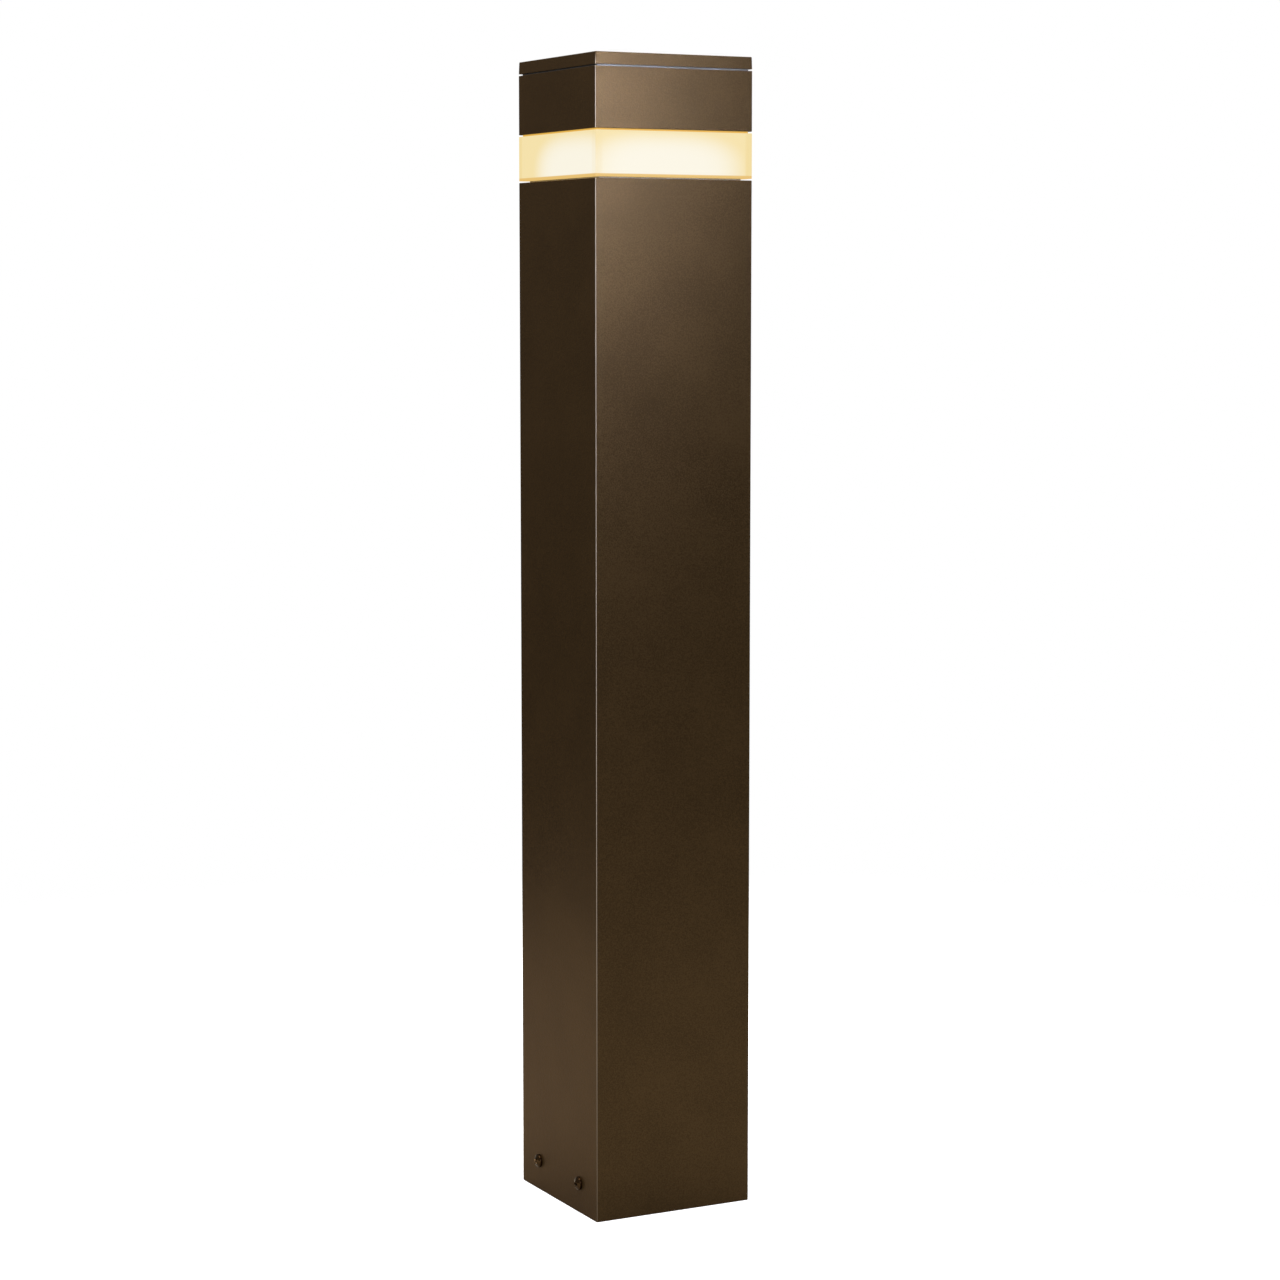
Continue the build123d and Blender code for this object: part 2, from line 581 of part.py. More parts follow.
# ================================================================ light plate
with BuildPart() as light_plate:
    with BuildSketch(Plane.XY.offset(PLATE_BOTTOM)):
        RectangleRounded(PLATE_WIDTH, PLATE_WIDTH, CORNER_RADIUS)
        Circle(WIREWAY_HOLE, mode=Mode.SUBTRACT)
        with GridLocations(POST_SPACING, POST_SPACING, 2, 2):
            Circle(CLEARANCE_RADIUS, mode=Mode.SUBTRACT)
        with GridLocations(BOARD_SCREW_SPACING, BOARD_SCREW_SPACING, 2, 2):
            Circle(M3_TAPPED, mode=Mode.SUBTRACT)
        with PolarLocations(HEAD_SCREW_REACH, 4):
            Circle(M4_TAPPED, mode=Mode.SUBTRACT)
        with Locations((0, DRIVER_Y)):
            with GridLocations(EAR_HOLE_SPACING, 0, 2, 1):
                Circle(M4_TAPPED, mode=Mode.SUBTRACT)
        with Locations(CONNECTOR_PLACE):
            RectangleRounded(CONNECTOR_LENGTH + 2 * CONNECTOR_GAP, CONNECTOR_WIDTH + 2 * CONNECTOR_GAP,
                             CONNECTOR_WINDOW_RADIUS, mode=Mode.SUBTRACT)
    extrude(amount=PLATE_THICKNESS)
light_plate.part.label = "light_plate"
export_step(light_plate.part, "parts/light_plate.step")

# ================================================================ LED board, packages and screws
with BuildPart() as led_board:
    with BuildSketch(Plane.XY.offset(BOARD_BOTTOM)):
        RectangleRounded(BOARD_WIDTH, BOARD_WIDTH, BOARD_CORNER)
        Circle(WIREWAY_RADIUS + BOARD_STEM_GAP, mode=Mode.SUBTRACT)
        with GridLocations(BOARD_SCREW_SPACING, BOARD_SCREW_SPACING, 2, 2):
            Circle(M3_CLEARANCE, mode=Mode.SUBTRACT)
    extrude(amount=BOARD_THICKNESS)
led_board.part.label = "led_board"
export_step(led_board.part, "parts/led_board.step")

with BuildPart() as led_packages:
    with BuildSketch(Plane.XY.offset(BOARD_BOTTOM - LED_THICKNESS)):
        for ring_radius, count in LED_RINGS:
            with PolarLocations(ring_radius, count):
                Rectangle(LED_SIZE, LED_SIZE)
    extrude(amount=LED_THICKNESS)
led_packages.part.label = "led_packages"
export_step(led_packages.part, "parts/led_packages.step")

board_screw = pan_head_screw(M3_HEAD_RADIUS, M3_HEAD, M3_RADIUS, BOARD_SCREW_LENGTH, M3_RECESS)
with BuildPart() as led_board_screws:
    with Locations(Plane(origin=(0, 0, BOARD_BOTTOM), z_dir=(0, 0, -1))):
        with GridLocations(BOARD_SCREW_SPACING, BOARD_SCREW_SPACING, 2, 2):
            add(board_screw)
led_board_screws.part.label = "led_board_screws"
export_step(led_board_screws.part, "parts/led_board_screws.step")

with BuildPart() as led_connector:
    with BuildSketch(Plane.XY.offset(PLATE_BOTTOM)):
        with Locations(CONNECTOR_PLACE):
            Rectangle(CONNECTOR_LENGTH, CONNECTOR_WIDTH)
    extrude(amount=CONNECTOR_HEIGHT)
    connector_top = led_connector.faces().sort_by(Axis.Z)[-1].edges()
    chamfer(connector_top, length=CONNECTOR_EDGE)
led_connector.part.label = "led_connector"
export_step(led_connector.part, "parts/led_connector.step")

# ================================================================ head housing and its screws
with BuildPart() as head_housing:
    with BuildSketch(Plane.XY.offset(HEAD_BOTTOM)):
        square_band(WIDTH, HEAD_BORE, EDGE_RADIUS, CORNER_RADIUS)
    extrude(amount=HEAD_HEIGHT)
    rims = head_housing.faces().filter_by(Axis.Z).sort_by(Axis.Z)
    rim_edges = rims[0].outer_wire().edges() + rims[-1].outer_wire().edges()
    chamfer(rim_edges, length=RIM_CHAMFER)
    with BuildSketch(Plane.XY.offset(PLATE_TOP)):
        square_band(HEAD_BORE + HEAD_WALL, LEDGE_BORE, CORNER_RADIUS, LEDGE_RADIUS)
        with PolarLocations(HEAD_SCREW_REACH, 4):
            Circle(M4_CLEARANCE, mode=Mode.SUBTRACT)
    extrude(amount=LEDGE_THICKNESS)
head_housing.part.label = "head_housing"
export_step(head_housing.part, "parts/head_housing.step")

m4_screw = pan_head_screw(M4_HEAD_RADIUS, M4_HEAD, M4_RADIUS, M4_LENGTH, M4_RECESS)
with BuildPart() as head_screws:
    with Locations((0, 0, PLATE_TOP + LEDGE_THICKNESS)):
        with PolarLocations(HEAD_SCREW_REACH, 4):
            add(m4_screw)
head_screws.part.label = "head_screws"
export_step(head_screws.part, "parts/head_screws.step")

# ================================================================ hex standoffs that carry the cap
with BuildPart() as hex_standoffs:
    with BuildSketch(Plane.XY.offset(PLATE_TOP)):
        with GridLocations(POST_SPACING, POST_SPACING, 2, 2):
            RegularPolygon(radius=STANDOFF_FLATS / 2, side_count=6, major_radius=False)
    extrude(amount=STANDOFF_TOP - PLATE_TOP)
    with BuildSketch(Plane.XY.offset(STANDOFF_TOP)):
        with GridLocations(POST_SPACING, POST_SPACING, 2, 2):
            Circle(TAPPED_RADIUS)
    extrude(amount=-STANDOFF_TAPPING, mode=Mode.SUBTRACT)
    with BuildSketch(Plane.XY.offset(PLATE_TOP)):
        with GridLocations(POST_SPACING, POST_SPACING, 2, 2):
            Circle(THREAD_RADIUS)
    extrude(amount=-(PLATE_THICKNESS + STANDOFF_STUD))
hex_standoffs.part.label = "hex_standoffs"
export_step(hex_standoffs.part, "parts/hex_standoffs.step")

# ================================================================ driver and its screws
with BuildPart() as led_driver:
    with BuildSketch(Plane.XY.offset(PLATE_TOP)):
        with Locations((0, DRIVER_Y)):
            RectangleRounded(DRIVER_LENGTH, DRIVER_WIDTH, DRIVER_CORNER)
    extrude(amount=DRIVER_HEIGHT)
    driver_lid = led_driver.faces().sort_by(Axis.Z)[-1].edges()
    chamfer(driver_lid, length=DRIVER_EDGE)
    with BuildSketch(Plane.XY.offset(PLATE_TOP)):
        with Locations((0, DRIVER_Y)):
            RectangleRounded(EAR_SPAN, EAR_WIDTH, EAR_CORNER)
            with GridLocations(EAR_HOLE_SPACING, 0, 2, 1):
                Circle(M4_CLEARANCE, mode=Mode.SUBTRACT)
    extrude(amount=EAR_THICKNESS)
led_driver.part.label = "led_driver"
export_step(led_driver.part, "parts/led_driver.step")

with BuildPart() as driver_screws:
    with Locations((0, DRIVER_Y, PLATE_TOP + EAR_THICKNESS)):
        with GridLocations(EAR_HOLE_SPACING, 0, 2, 1):
            add(m4_screw)
driver_screws.part.label = "driver_screws"
export_step(driver_screws.part, "parts/driver_screws.step")

# ================================================================ supply leads, base to driver
# Each lead rises from its pole, lies in the clips on the rear wall, crosses to the stem and loops
# round to the driver's input end. The loops nest, so that no lead crosses another.
DRIVER_IN = DRIVER_LENGTH / 2
LEAD_EXIT_Z = PLATE_TOP + LEAD_EXIT
supply_leads = (
    # name, pole, place in the stem, height of the turn, start of the loop, loop reach, driver end
    ("lead_line", 0, (0.0, 2.2), 985.0, 8.0, 59.0, 27.0),
    ("lead_neutral", 1, (1.9, -1.1), 989.0, 3.0, 63.5, 34.0),
    ("lead_ground", -1, (-1.9, -1.1), 993.0, -2.5, 68.0, 41.0),
)
for name, pole, stem_place, turn_z, loop_y, loop_x, end_y in supply_leads:
    pole_x = pole * POLE_PITCH
    wall_x = pole * LEAD_WALL_PITCH
    stem_x, stem_y = stem_place
    route = (
        (pole_x, BLOCK_Y, BLOCK_TOP),
        (pole_x, BLOCK_Y, BLOCK_TOP + LEAD_TAIL),
        (wall_x, LEAD_WALL_Y, BLOCK_TOP + LEAD_TO_WALL),
        (wall_x, LEAD_WALL_Y, DECK_BOTTOM - LEAD_OFF_WALL),
        (stem_x, stem_y, DECK_BOTTOM - LEAD_TO_STEM),
        (stem_x, stem_y, turn_z),
        (LEAD_LOOP_X, loop_y, turn_z),
        (loop_x, loop_y, LEAD_EXIT_Z + LEAD_LOOP_FALL),
        (loop_x, end_y, LEAD_EXIT_Z),
        (DRIVER_IN, end_y, LEAD_EXIT_Z),
    )
    bends = (
        widest_bend(*route[0:3]),
        widest_bend(*route[1:4]),
        widest_bend(*route[2:5]) / 2,
        LEAD_SWEEP,
        LEAD_BEND,
        LEAD_SWEEP,
        LEAD_BEND,
        LEAD_BEND,
    )
    wire = lead(route, bends, LEAD_RADIUS)
    wire.label = name
    export_step(wire, f"parts/{name}.step")

# ================================================================ LED leads, driver to LED board
LED_LEAD_Z = PLATE_TOP + LED_LEAD_EXIT
led_leads = (
    # name, driver end, loop reach, side of the connector
    ("led_lead_positive", 31.0, -58.0, 2.0),
    ("led_lead_negative", 37.0, -63.0, -2.0),
)
for name, start_y, loop_x, side_y in led_leads:
    route = (
        (-DRIVER_IN, start_y, LED_LEAD_Z),
        (loop_x, start_y, LED_LEAD_Z),
        (loop_x, side_y, LED_LEAD_Z + LED_LEAD_RISE),
        (CONNECTOR_PLACE[0], side_y, LED_LEAD_Z + LED_LEAD_RISE),
        (CONNECTOR_PLACE[0], side_y, PLATE_BOTTOM + CONNECTOR_HEIGHT),
    )
    wire = lead(route, LED_LEAD_BENDS, LED_LEAD_RADIUS)
    wire.label = name
    export_step(wire, f"parts/{name}.step")

# ================================================================ top cap
with BuildPart() as top_cap:
    with BuildSketch(Plane.XY.offset(CAP_BOTTOM)):
        RectangleRounded(WIDTH, WIDTH, EDGE_RADIUS)
    with BuildSketch(Plane.XY.offset(HEIGHT)):
        RectangleRounded(WIDTH - 2 * CAP_DRAFT, WIDTH - 2 * CAP_DRAFT, EDGE_RADIUS)
    loft()
    fillet(top_cap.faces().sort_by(Axis.Z)[-1].edges(), radius=CAP_TOP_RADIUS)
    with BuildSketch(Plane.XY.offset(CAP_BOTTOM - SPIGOT_DEPTH)):
        RectangleRounded(SPIGOT_WIDTH, SPIGOT_WIDTH, CORNER_RADIUS)
    extrude(amount=SPIGOT_DEPTH)
    with BuildSketch(Plane.XY.offset(CAP_BOTTOM - SPIGOT_DEPTH)):
        RectangleRounded(SPIGOT_BORE, SPIGOT_BORE, SPIGOT_BORE_RADIUS)
    extrude(amount=SPIGOT_DEPTH + CAP_HEIGHT - CAP_TOP_THICKNESS, mode=Mode.SUBTRACT)
    with BuildSketch(Plane.XY.offset(CAP_BOTTOM - CAP_GROOVE_TOP)):
        square_band(WIDTH, CAP_GROOVE_WIDTH, EDGE_RADIUS, EDGE_RADIUS)
    extrude(amount=-CAP_GASKET_HEIGHT, mode=Mode.SUBTRACT)
    with BuildSketch(Plane.XY.offset(HEIGHT - CAP_TOP_THICKNESS - RIB_DEPTH)):
        Rectangle(SPIGOT_BORE, RIB_THICKNESS)
        Rectangle(RIB_THICKNESS, SPIGOT_BORE)
    extrude(amount=RIB_DEPTH)
    with BuildSketch(Plane.XY.offset(STANDOFF_TOP)):
        with GridLocations(POST_SPACING, POST_SPACING, 2, 2):
            Circle(BOSS_RADIUS)
    extrude(amount=HEIGHT - CAP_TOP_THICKNESS - STANDOFF_TOP)
    with Locations((0, 0, HEIGHT)):
        with GridLocations(POST_SPACING, POST_SPACING, 2, 2):
            CounterSinkHole(CLEARANCE_RADIUS, CAP_SCREW_HEAD + CAP_SCREW_LAND + THREAD_GAP,
                            counter_sink_angle=CSK_ANGLE)
    with BuildSketch(Plane.XY.offset(STANDOFF_TOP)):
        with GridLocations(POST_SPACING, POST_SPACING, 2, 2):
            Circle(WASHER_SEAT)
    extrude(amount=WASHER_SEAT_DEPTH, mode=Mode.SUBTRACT)
top_cap.part.label = "top_cap"
export_step(top_cap.part, "parts/top_cap.step")

with BuildPart() as cap_gasket:
    with BuildSketch(Plane.XY.offset(CAP_BOTTOM - CAP_GROOVE_TOP)):
        square_band(CAP_GASKET_WIDTH, CAP_GROOVE_WIDTH, EDGE_RADIUS, EDGE_RADIUS)
    extrude(amount=-CAP_GASKET_HEIGHT)
cap_gasket.part.label = "cap_gasket"
export_step(cap_gasket.part, "parts/cap_gasket.step")

# ================================================================ captive cap screws and washers
with BuildPart() as cap_screw:
    with BuildSketch(Plane.XZ):
        with BuildLine():
            Polyline((0, 0), (CAP_SCREW_HEAD, 0), (CAP_SCREW_HEAD, -CAP_SCREW_LAND),
                     (THREAD_RADIUS, THREAD_RADIUS - CAP_SCREW_LAND - CAP_SCREW_HEAD),
                     (THREAD_RADIUS, CAP_SCREW_POINT - CAP_SCREW_LENGTH),
                     (THREAD_RADIUS - CAP_SCREW_POINT, -CAP_SCREW_LENGTH), (0, -CAP_SCREW_LENGTH),
                     close=True)
        make_face()
    revolve(axis=Axis.Z)
    with BuildSketch():
        RegularPolygon(radius=CAP_SOCKET_FLATS / 2, side_count=6, major_radius=False)
        Circle(CAP_SOCKET_PIN, mode=Mode.SUBTRACT)
    extrude(amount=-CAP_SOCKET, mode=Mode.SUBTRACT)

with BuildPart() as cap_screws:
    with Locations((0, 0, HEIGHT)):
        with GridLocations(POST_SPACING, POST_SPACING, 2, 2):
            add(cap_screw.part)
cap_screws.part.label = "cap_screws"
export_step(cap_screws.part, "parts/cap_screws.step")

with BuildPart() as captive_washers:
    with BuildSketch(Plane.XY.offset(STANDOFF_TOP + WASHER_LIFT)):
        with GridLocations(POST_SPACING, POST_SPACING, 2, 2):
            Circle(WASHER_RADIUS)
            Circle(TAPPED_RADIUS, mode=Mode.SUBTRACT)
    extrude(amount=WASHER_THICKNESS)
captive_washers.part.label = "captive_washers"
export_step(captive_washers.part, "parts/captive_washers.step")
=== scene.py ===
import json
from math import cos, pi, radians, sin, sqrt

import bmesh
import bpy
from mathutils import Matrix, Vector


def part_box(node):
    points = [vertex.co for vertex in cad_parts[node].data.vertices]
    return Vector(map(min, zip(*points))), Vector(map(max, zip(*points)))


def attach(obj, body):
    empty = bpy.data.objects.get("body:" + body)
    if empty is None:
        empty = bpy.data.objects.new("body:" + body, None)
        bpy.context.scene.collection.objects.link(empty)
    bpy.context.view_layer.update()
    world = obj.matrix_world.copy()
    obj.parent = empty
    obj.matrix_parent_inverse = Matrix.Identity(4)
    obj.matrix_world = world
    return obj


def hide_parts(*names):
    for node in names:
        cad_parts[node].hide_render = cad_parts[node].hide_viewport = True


# Looks of the square bollard light. Everything is in metres, in the frame of the CAD model:
# ground at z = 0, +Z up, front face -Y, base screws in the -X and +X faces.
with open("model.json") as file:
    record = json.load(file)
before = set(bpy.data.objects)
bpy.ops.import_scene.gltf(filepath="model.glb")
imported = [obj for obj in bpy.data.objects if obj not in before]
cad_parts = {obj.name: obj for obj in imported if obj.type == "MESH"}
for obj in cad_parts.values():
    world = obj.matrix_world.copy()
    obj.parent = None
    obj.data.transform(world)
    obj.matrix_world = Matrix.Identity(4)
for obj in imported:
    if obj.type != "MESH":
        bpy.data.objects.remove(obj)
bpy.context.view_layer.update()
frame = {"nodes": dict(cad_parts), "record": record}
nodes = frame["nodes"]
MM = 0.001

# ---------------------------------------------------------------- camera
CAMERA_PLACE = (-1.2808, -2.4879, 0.8141)
CAMERA_YAW = radians(62.655)       # heading from +X towards +Y
CAMERA_PITCH = radians(-6.32)
CAMERA_LENS = 88.517               # mm, on a 36 mm sensor

camera_data = bpy.data.cameras.new("camera")
camera_data.lens = CAMERA_LENS
camera_data.sensor_width = 36
camera = bpy.data.objects.new("camera", camera_data)
bpy.context.scene.collection.objects.link(camera)
level = cos(CAMERA_PITCH)
heading = Vector((level * cos(CAMERA_YAW), level * sin(CAMERA_YAW), sin(CAMERA_PITCH)))
camera.location = CAMERA_PLACE
camera.rotation_mode = "QUATERNION"
camera.rotation_quaternion = heading.to_track_quat("-Z", "Y")
bpy.context.scene.camera = camera
bpy.context.scene.view_settings.view_transform = "Standard"


# ---------------------------------------------------------------- material nodes
NOISE_RANGE = (0.3, 0.7)


class Finish:
    """A procedural material being made. A socket takes a number, a colour or another socket."""

    def __init__(self, name):
        self.material = bpy.data.materials.new(name)
        self.material.use_nodes = True
        self.tree = self.material.node_tree
        self.tree.nodes.clear()
        self.shader = self.add("ShaderNodeBsdfPrincipled")
        output = self.add("ShaderNodeOutputMaterial")
        self.tree.links.new(self.shader.outputs[0], output.inputs["Surface"])
        self.place = self.add("ShaderNodeTexCoord").outputs["Object"]

    def add(self, kind, **settings):
        node = self.tree.nodes.new(kind)
        for name, value in settings.items():
            setattr(node, name, value)
        return node

    def plug(self, socket, value):
        """Links value to socket if it is a socket itself, and otherwise sets it."""
        if isinstance(value, bpy.types.NodeSocket):
            self.tree.links.new(value, socket)
        elif socket.type == "RGBA":
            socket.default_value = (*value, 1)
        else:
            socket.default_value = value

    def feed(self, node, **values):
        for name, value in values.items():
            self.plug(node.inputs[name.replace("_", " ")], value)

    def set(self, **values):
        """Sets or links the shader's own sockets."""
        self.feed(self.shader, **values)

    def noise(self, size, detail=2.0, stretch=None):
        """Noise from 0 to 1 whose blotches are about size metres across."""
        where = self.place
        if stretch:
            mapping = self.add("ShaderNodeMapping")
            self.feed(mapping, Vector=self.place, Scale=stretch)
            where = mapping.outputs[0]
        node = self.add("ShaderNodeTexNoise")
        self.feed(node, Vector=where, Scale=1 / size, Detail=detail)
        return node.outputs["Fac"]

    def cells(self, size, output="Distance"):
        """Distance to the middle of cells about size metres across, or their random colour."""
        node = self.add("ShaderNodeTexVoronoi")
        self.feed(node, Vector=self.place, Scale=1 / size)
        return node.outputs[output]

    def math(self, operation, first, second=0.0):
        node = self.add("ShaderNodeMath", operation=operation)
        self.plug(node.inputs[0], first)
        self.plug(node.inputs[1], second)
        return node.outputs[0]

    def remap(self, value, start, end, low=0.0, high=1.0):
        """value from start to end becomes low to high along a smooth step, level outside."""
        node = self.add("ShaderNodeMapRange", interpolation_type="SMOOTHSTEP")
        self.feed(node, Value=value, From_Min=start, From_Max=end, To_Min=low, To_Max=high)
        return node.outputs[0]

    def spread(self, noise, low=0.0, high=1.0):
        """Noise stretched so that the range it mostly keeps to becomes low to high."""
        return self.remap(noise, *NOISE_RANGE, low, high)

    def blend(self, share, first, second):
        """Colour that goes from first to second as share goes from 0 to 1."""
        node = self.add("ShaderNodeMix", data_type="RGBA")
        factor, low, high = node.inputs[0], node.inputs[6], node.inputs[7]
        for socket, value in ((factor, share), (low, first), (high, second)):
            self.plug(socket, value)
        return node.outputs[2]

    def axes(self):
        """X, Y and Z of the point being shaded."""
        node = self.add("ShaderNodeSeparateXYZ")
        self.tree.links.new(self.place, node.inputs[0])
        return node.outputs

    def radius(self):
        """Distance from the post's upright centre line."""
        x, y, _ = self.axes()
        square_sum = self.math("ADD", self.math("MULTIPLY", x, x), self.math("MULTIPLY", y, y))
        return self.math("SQRT", square_sum)

    def bump(self, height, depth, under=None):
        """Surface relief of depth metres; under is a coarser relief to lay it on."""
        node = self.add("ShaderNodeBump")
        self.feed(node, Height=height, Distance=depth)
        if under:
            self.tree.links.new(under, node.inputs["Normal"])
        return node.outputs[0]


WHITE = (1, 1, 1)


def shade(colour, share):
    return tuple(channel * share for channel in colour)


# ---------------------------------------------------------------- bronze powder coat
BRONZE = (0.056, 0.0335, 0.0135)
BRONZE_METAL = 0.5
BRONZE_ROUGHNESS = (0.29, 0.39)
BRONZE_SPECULAR = 0.25
BRONZE_TINT = (0.75, 0.52, 0.36)
BRONZE_CORNER_HIGHLIGHT = (0.60, 0.51, 0.43)     # painted highlight: a paler line down the upright corners that stands in for their shine
HIGHLIGHT_WIDTH = 0.45 * MM
HIGHLIGHT_FOOT = (-0.06, 0.18)            # height and strength at which the corners' line begins,
HIGHLIGHT_TOP = (0.55, 1.0)               # and those at which it is full
GRAIN = 1.1 * MM
PEEL = 4 * MM
CLOUD = 60 * MM
GRAIN_SHARE = 0.75                     # of the mottle; the cloud makes up the rest
# Bare aluminium where the coat is masked off, painted far darker than bare metal as shade in the reveal
# under the cap.
SHADED_RAW_ALUMINIUM = (0.18, 0.18, 0.18)
RAW_METAL = 0.7
RAW_GRAIN = 1.5 * MM
MASK_DEPTH = 3.2 * MM                  # how far below the cap's top the coat is masked off


def powder_coat(finish):
    """Colour, roughness and relief of a coat with a fine grain on a faint orange peel, with a painted
    highlight down the upright corners.
    """
    x, y, z = finish.axes()
    # Painted highlight: a paler line along the upright corners, stronger higher up, as if lit from
    # above.
    both = finish.math("MINIMUM", finish.math("ABSOLUTE", x), finish.math("ABSOLUTE", y))
    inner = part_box("column")[1].x - HIGHLIGHT_WIDTH
    corner = finish.remap(both, inner - 0.2 * MM, inner + 0.1 * MM)
    (foot, weak), (top, full) = HIGHLIGHT_FOOT, HIGHLIGHT_TOP
    corner = finish.math("MULTIPLY", corner, finish.remap(z, foot, top, weak, full))
    grain = finish.noise(GRAIN, detail=3)
    peel = finish.noise(PEEL)
    fine = finish.math("MULTIPLY", grain, GRAIN_SHARE)
    broad = finish.math("MULTIPLY", finish.noise(CLOUD), 1 - GRAIN_SHARE)
    mottle = finish.remap(finish.math("ADD", fine, broad), 0.35, 0.65)
    colour = finish.blend(mottle, shade(BRONZE, 0.80), shade(BRONZE, 1.20))
    colour = finish.blend(corner, colour, BRONZE_CORNER_HIGHLIGHT)
    relief = finish.bump(grain, 0.10 * MM, finish.bump(peel, 0.06 * MM))
    return colour, finish.spread(grain, *BRONZE_ROUGHNESS), relief


def bronze_coat(name):
    """Powder coat all over."""
    finish = Finish(name)
    colour, roughness, relief = powder_coat(finish)
    finish.set(
        Base_Color=colour,
        Metallic=BRONZE_METAL,
        Roughness=roughness,
        Specular_IOR_Level=BRONZE_SPECULAR,
        Specular_Tint=BRONZE_TINT,
        Normal=relief,
    )
    return finish


def coated_cap(name):
    """The same coat outside; the spigot, ribs and underside are masked and stay raw metal, painted dark
    as shade in the reveal.
    """
    finish = Finish(name)
    colour, roughness, relief = powder_coat(finish)
    x, y, z = finish.axes()
    reach = finish.math("MAXIMUM", finish.math("ABSOLUTE", x), finish.math("ABSOLUTE", y))
    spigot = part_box("cap_gasket")[1].x
    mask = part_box("top_cap")[1].z - MASK_DEPTH
    inside = finish.remap(reach, spigot + 0.3 * MM, spigot + 0.2 * MM)
    below = finish.remap(z, mask, mask - 0.1 * MM)
    bare = finish.math("MULTIPLY", inside, below)
    cast = finish.noise(RAW_GRAIN, detail=3)
    metal = finish.blend(cast, shade(SHADED_RAW_ALUMINIUM, 0.85), shade(SHADED_RAW_ALUMINIUM, 1.1))
    rougher = finish.math("MULTIPLY", bare, finish.spread(cast, 0.12, 0.24))
    finish.set(
        Base_Color=finish.blend(bare, colour, metal),
        Metallic=finish.remap(bare, 0, 1, BRONZE_METAL, RAW_METAL),
        Roughness=finish.math("ADD", roughness, rougher),
        Specular_IOR_Level=BRONZE_SPECULAR,
        Specular_Tint=BRONZE_TINT,
        Normal=relief,
    )
    return finish


# ---------------------------------------------------------------- lit lens
LENS_BRIGHT = (0.930, 0.885, 0.750)
LENS_UPPER = (0.890, 0.735, 0.390)
LENS_EDGE = (0.860, 0.690, 0.330)
LENS_FOOT = (0.780, 0.510, 0.160)
LENS_TONGUE = (0.780, 0.440, 0.070)
GLOW_SHIFT_X = 9.5 * MM    # how far the brightest part lies off centre, along X and along Y
GLOW_SHIFT_Y = 36 * MM
GLOW_HALF = 62 * MM
GLOW_HEIGHT = 30 * MM
GLOW_POWER = 3.0           # higher makes the bright arch squarer
GLOW_FADE = (0.15, 2.60)   # where on the arch the brightness starts and stops falling
WALL = (5.0 * MM, 8.0 * MM)            # distances from a corner between which the end zone fades
FADE_HALF = 30 * MM        # the end zone goes from faint to strong across this much each side
END_STRENGTH = (0.15, 0.95)
FOOT_BAND = (1.9 * MM, 2.9 * MM)       # heights between which the honey foot fades
TONGUE_FADE = 0.3 * MM


def frosted_lens(name):
    """Acrylic lit from inside: near white in a low arch on each face, honey at its edges."""
    finish = Finish(name)
    low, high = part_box("lens")
    reveal = low.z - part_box("column")[1].z
    band_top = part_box("head_housing")[0].z - reveal
    x, y, z = finish.axes()
    across = finish.math("GREATER_THAN", finish.math("ABSOLUTE", x), finish.math("ABSOLUTE", y))
    along_x = finish.math("MULTIPLY", finish.math("SUBTRACT", 1.0, across), x)
    along_y = finish.math("MULTIPLY", across, y)
    along = finish.math("ADD", along_x, along_y)
    shift = finish.remap(across, 0, 1, GLOW_SHIFT_X, GLOW_SHIFT_Y)
    rise = finish.math("SUBTRACT", z, low.z)
    edge = finish.math("SUBTRACT", high.x, finish.math("ABSOLUTE", along))
    end = finish.remap(edge, WALL[1], WALL[0])
    strength = finish.remap(along, -FADE_HALF, FADE_HALF, *END_STRENGTH)
    offset = finish.math("DIVIDE", finish.math("ADD", along, shift), GLOW_HALF)
    wide = finish.math("POWER", finish.math("ABSOLUTE", offset), GLOW_POWER)
    climb = finish.math("DIVIDE", finish.math("MAXIMUM", rise, 0.0), GLOW_HEIGHT)
    tall = finish.math("POWER", climb, GLOW_POWER)
    arch = finish.remap(finish.math("ADD", wide, tall), *GLOW_FADE)
    glow = finish.blend(arch, LENS_BRIGHT, LENS_UPPER)
    glow = finish.blend(finish.math("MULTIPLY", end, strength), glow, LENS_EDGE)
    glow = finish.blend(finish.remap(rise, FOOT_BAND[1], FOOT_BAND[0]), glow, LENS_FOOT)
    glow = finish.blend(finish.remap(z, band_top, band_top + TONGUE_FADE), glow, LENS_TONGUE)
    frost = finish.noise(0.5 * MM, detail=3)
    finish.set(
        Base_Color=finish.blend(frost, (0.020, 0.018, 0.015), (0.030, 0.027, 0.022)),
        Roughness=finish.spread(frost, 0.5, 0.6),
        Specular_IOR_Level=0.1,
        Emission_Color=glow,
        Emission_Strength=1.0,
        Normal=finish.bump(frost, 0.02 * MM),
    )
    return finish


# ---------------------------------------------------------------- plain finishes
def grained(name, colour, roughness, size, depth, metallic=0.0, contrast=0.08, stretch=None):
    """Colour, roughness and relief that all follow one grain of about size metres."""
    finish = Finish(name)
    grain = finish.noise(size, detail=3, stretch=stretch)
    dark, pale = shade(colour, 1 - contrast), shade(colour, 1 + contrast)
    finish.set(
        Base_Color=finish.blend(finish.spread(grain), dark, pale),
        Metallic=metallic,
        Roughness=finish.spread(grain, *roughness),
        Normal=finish.bump(grain, depth),
    )
    return finish


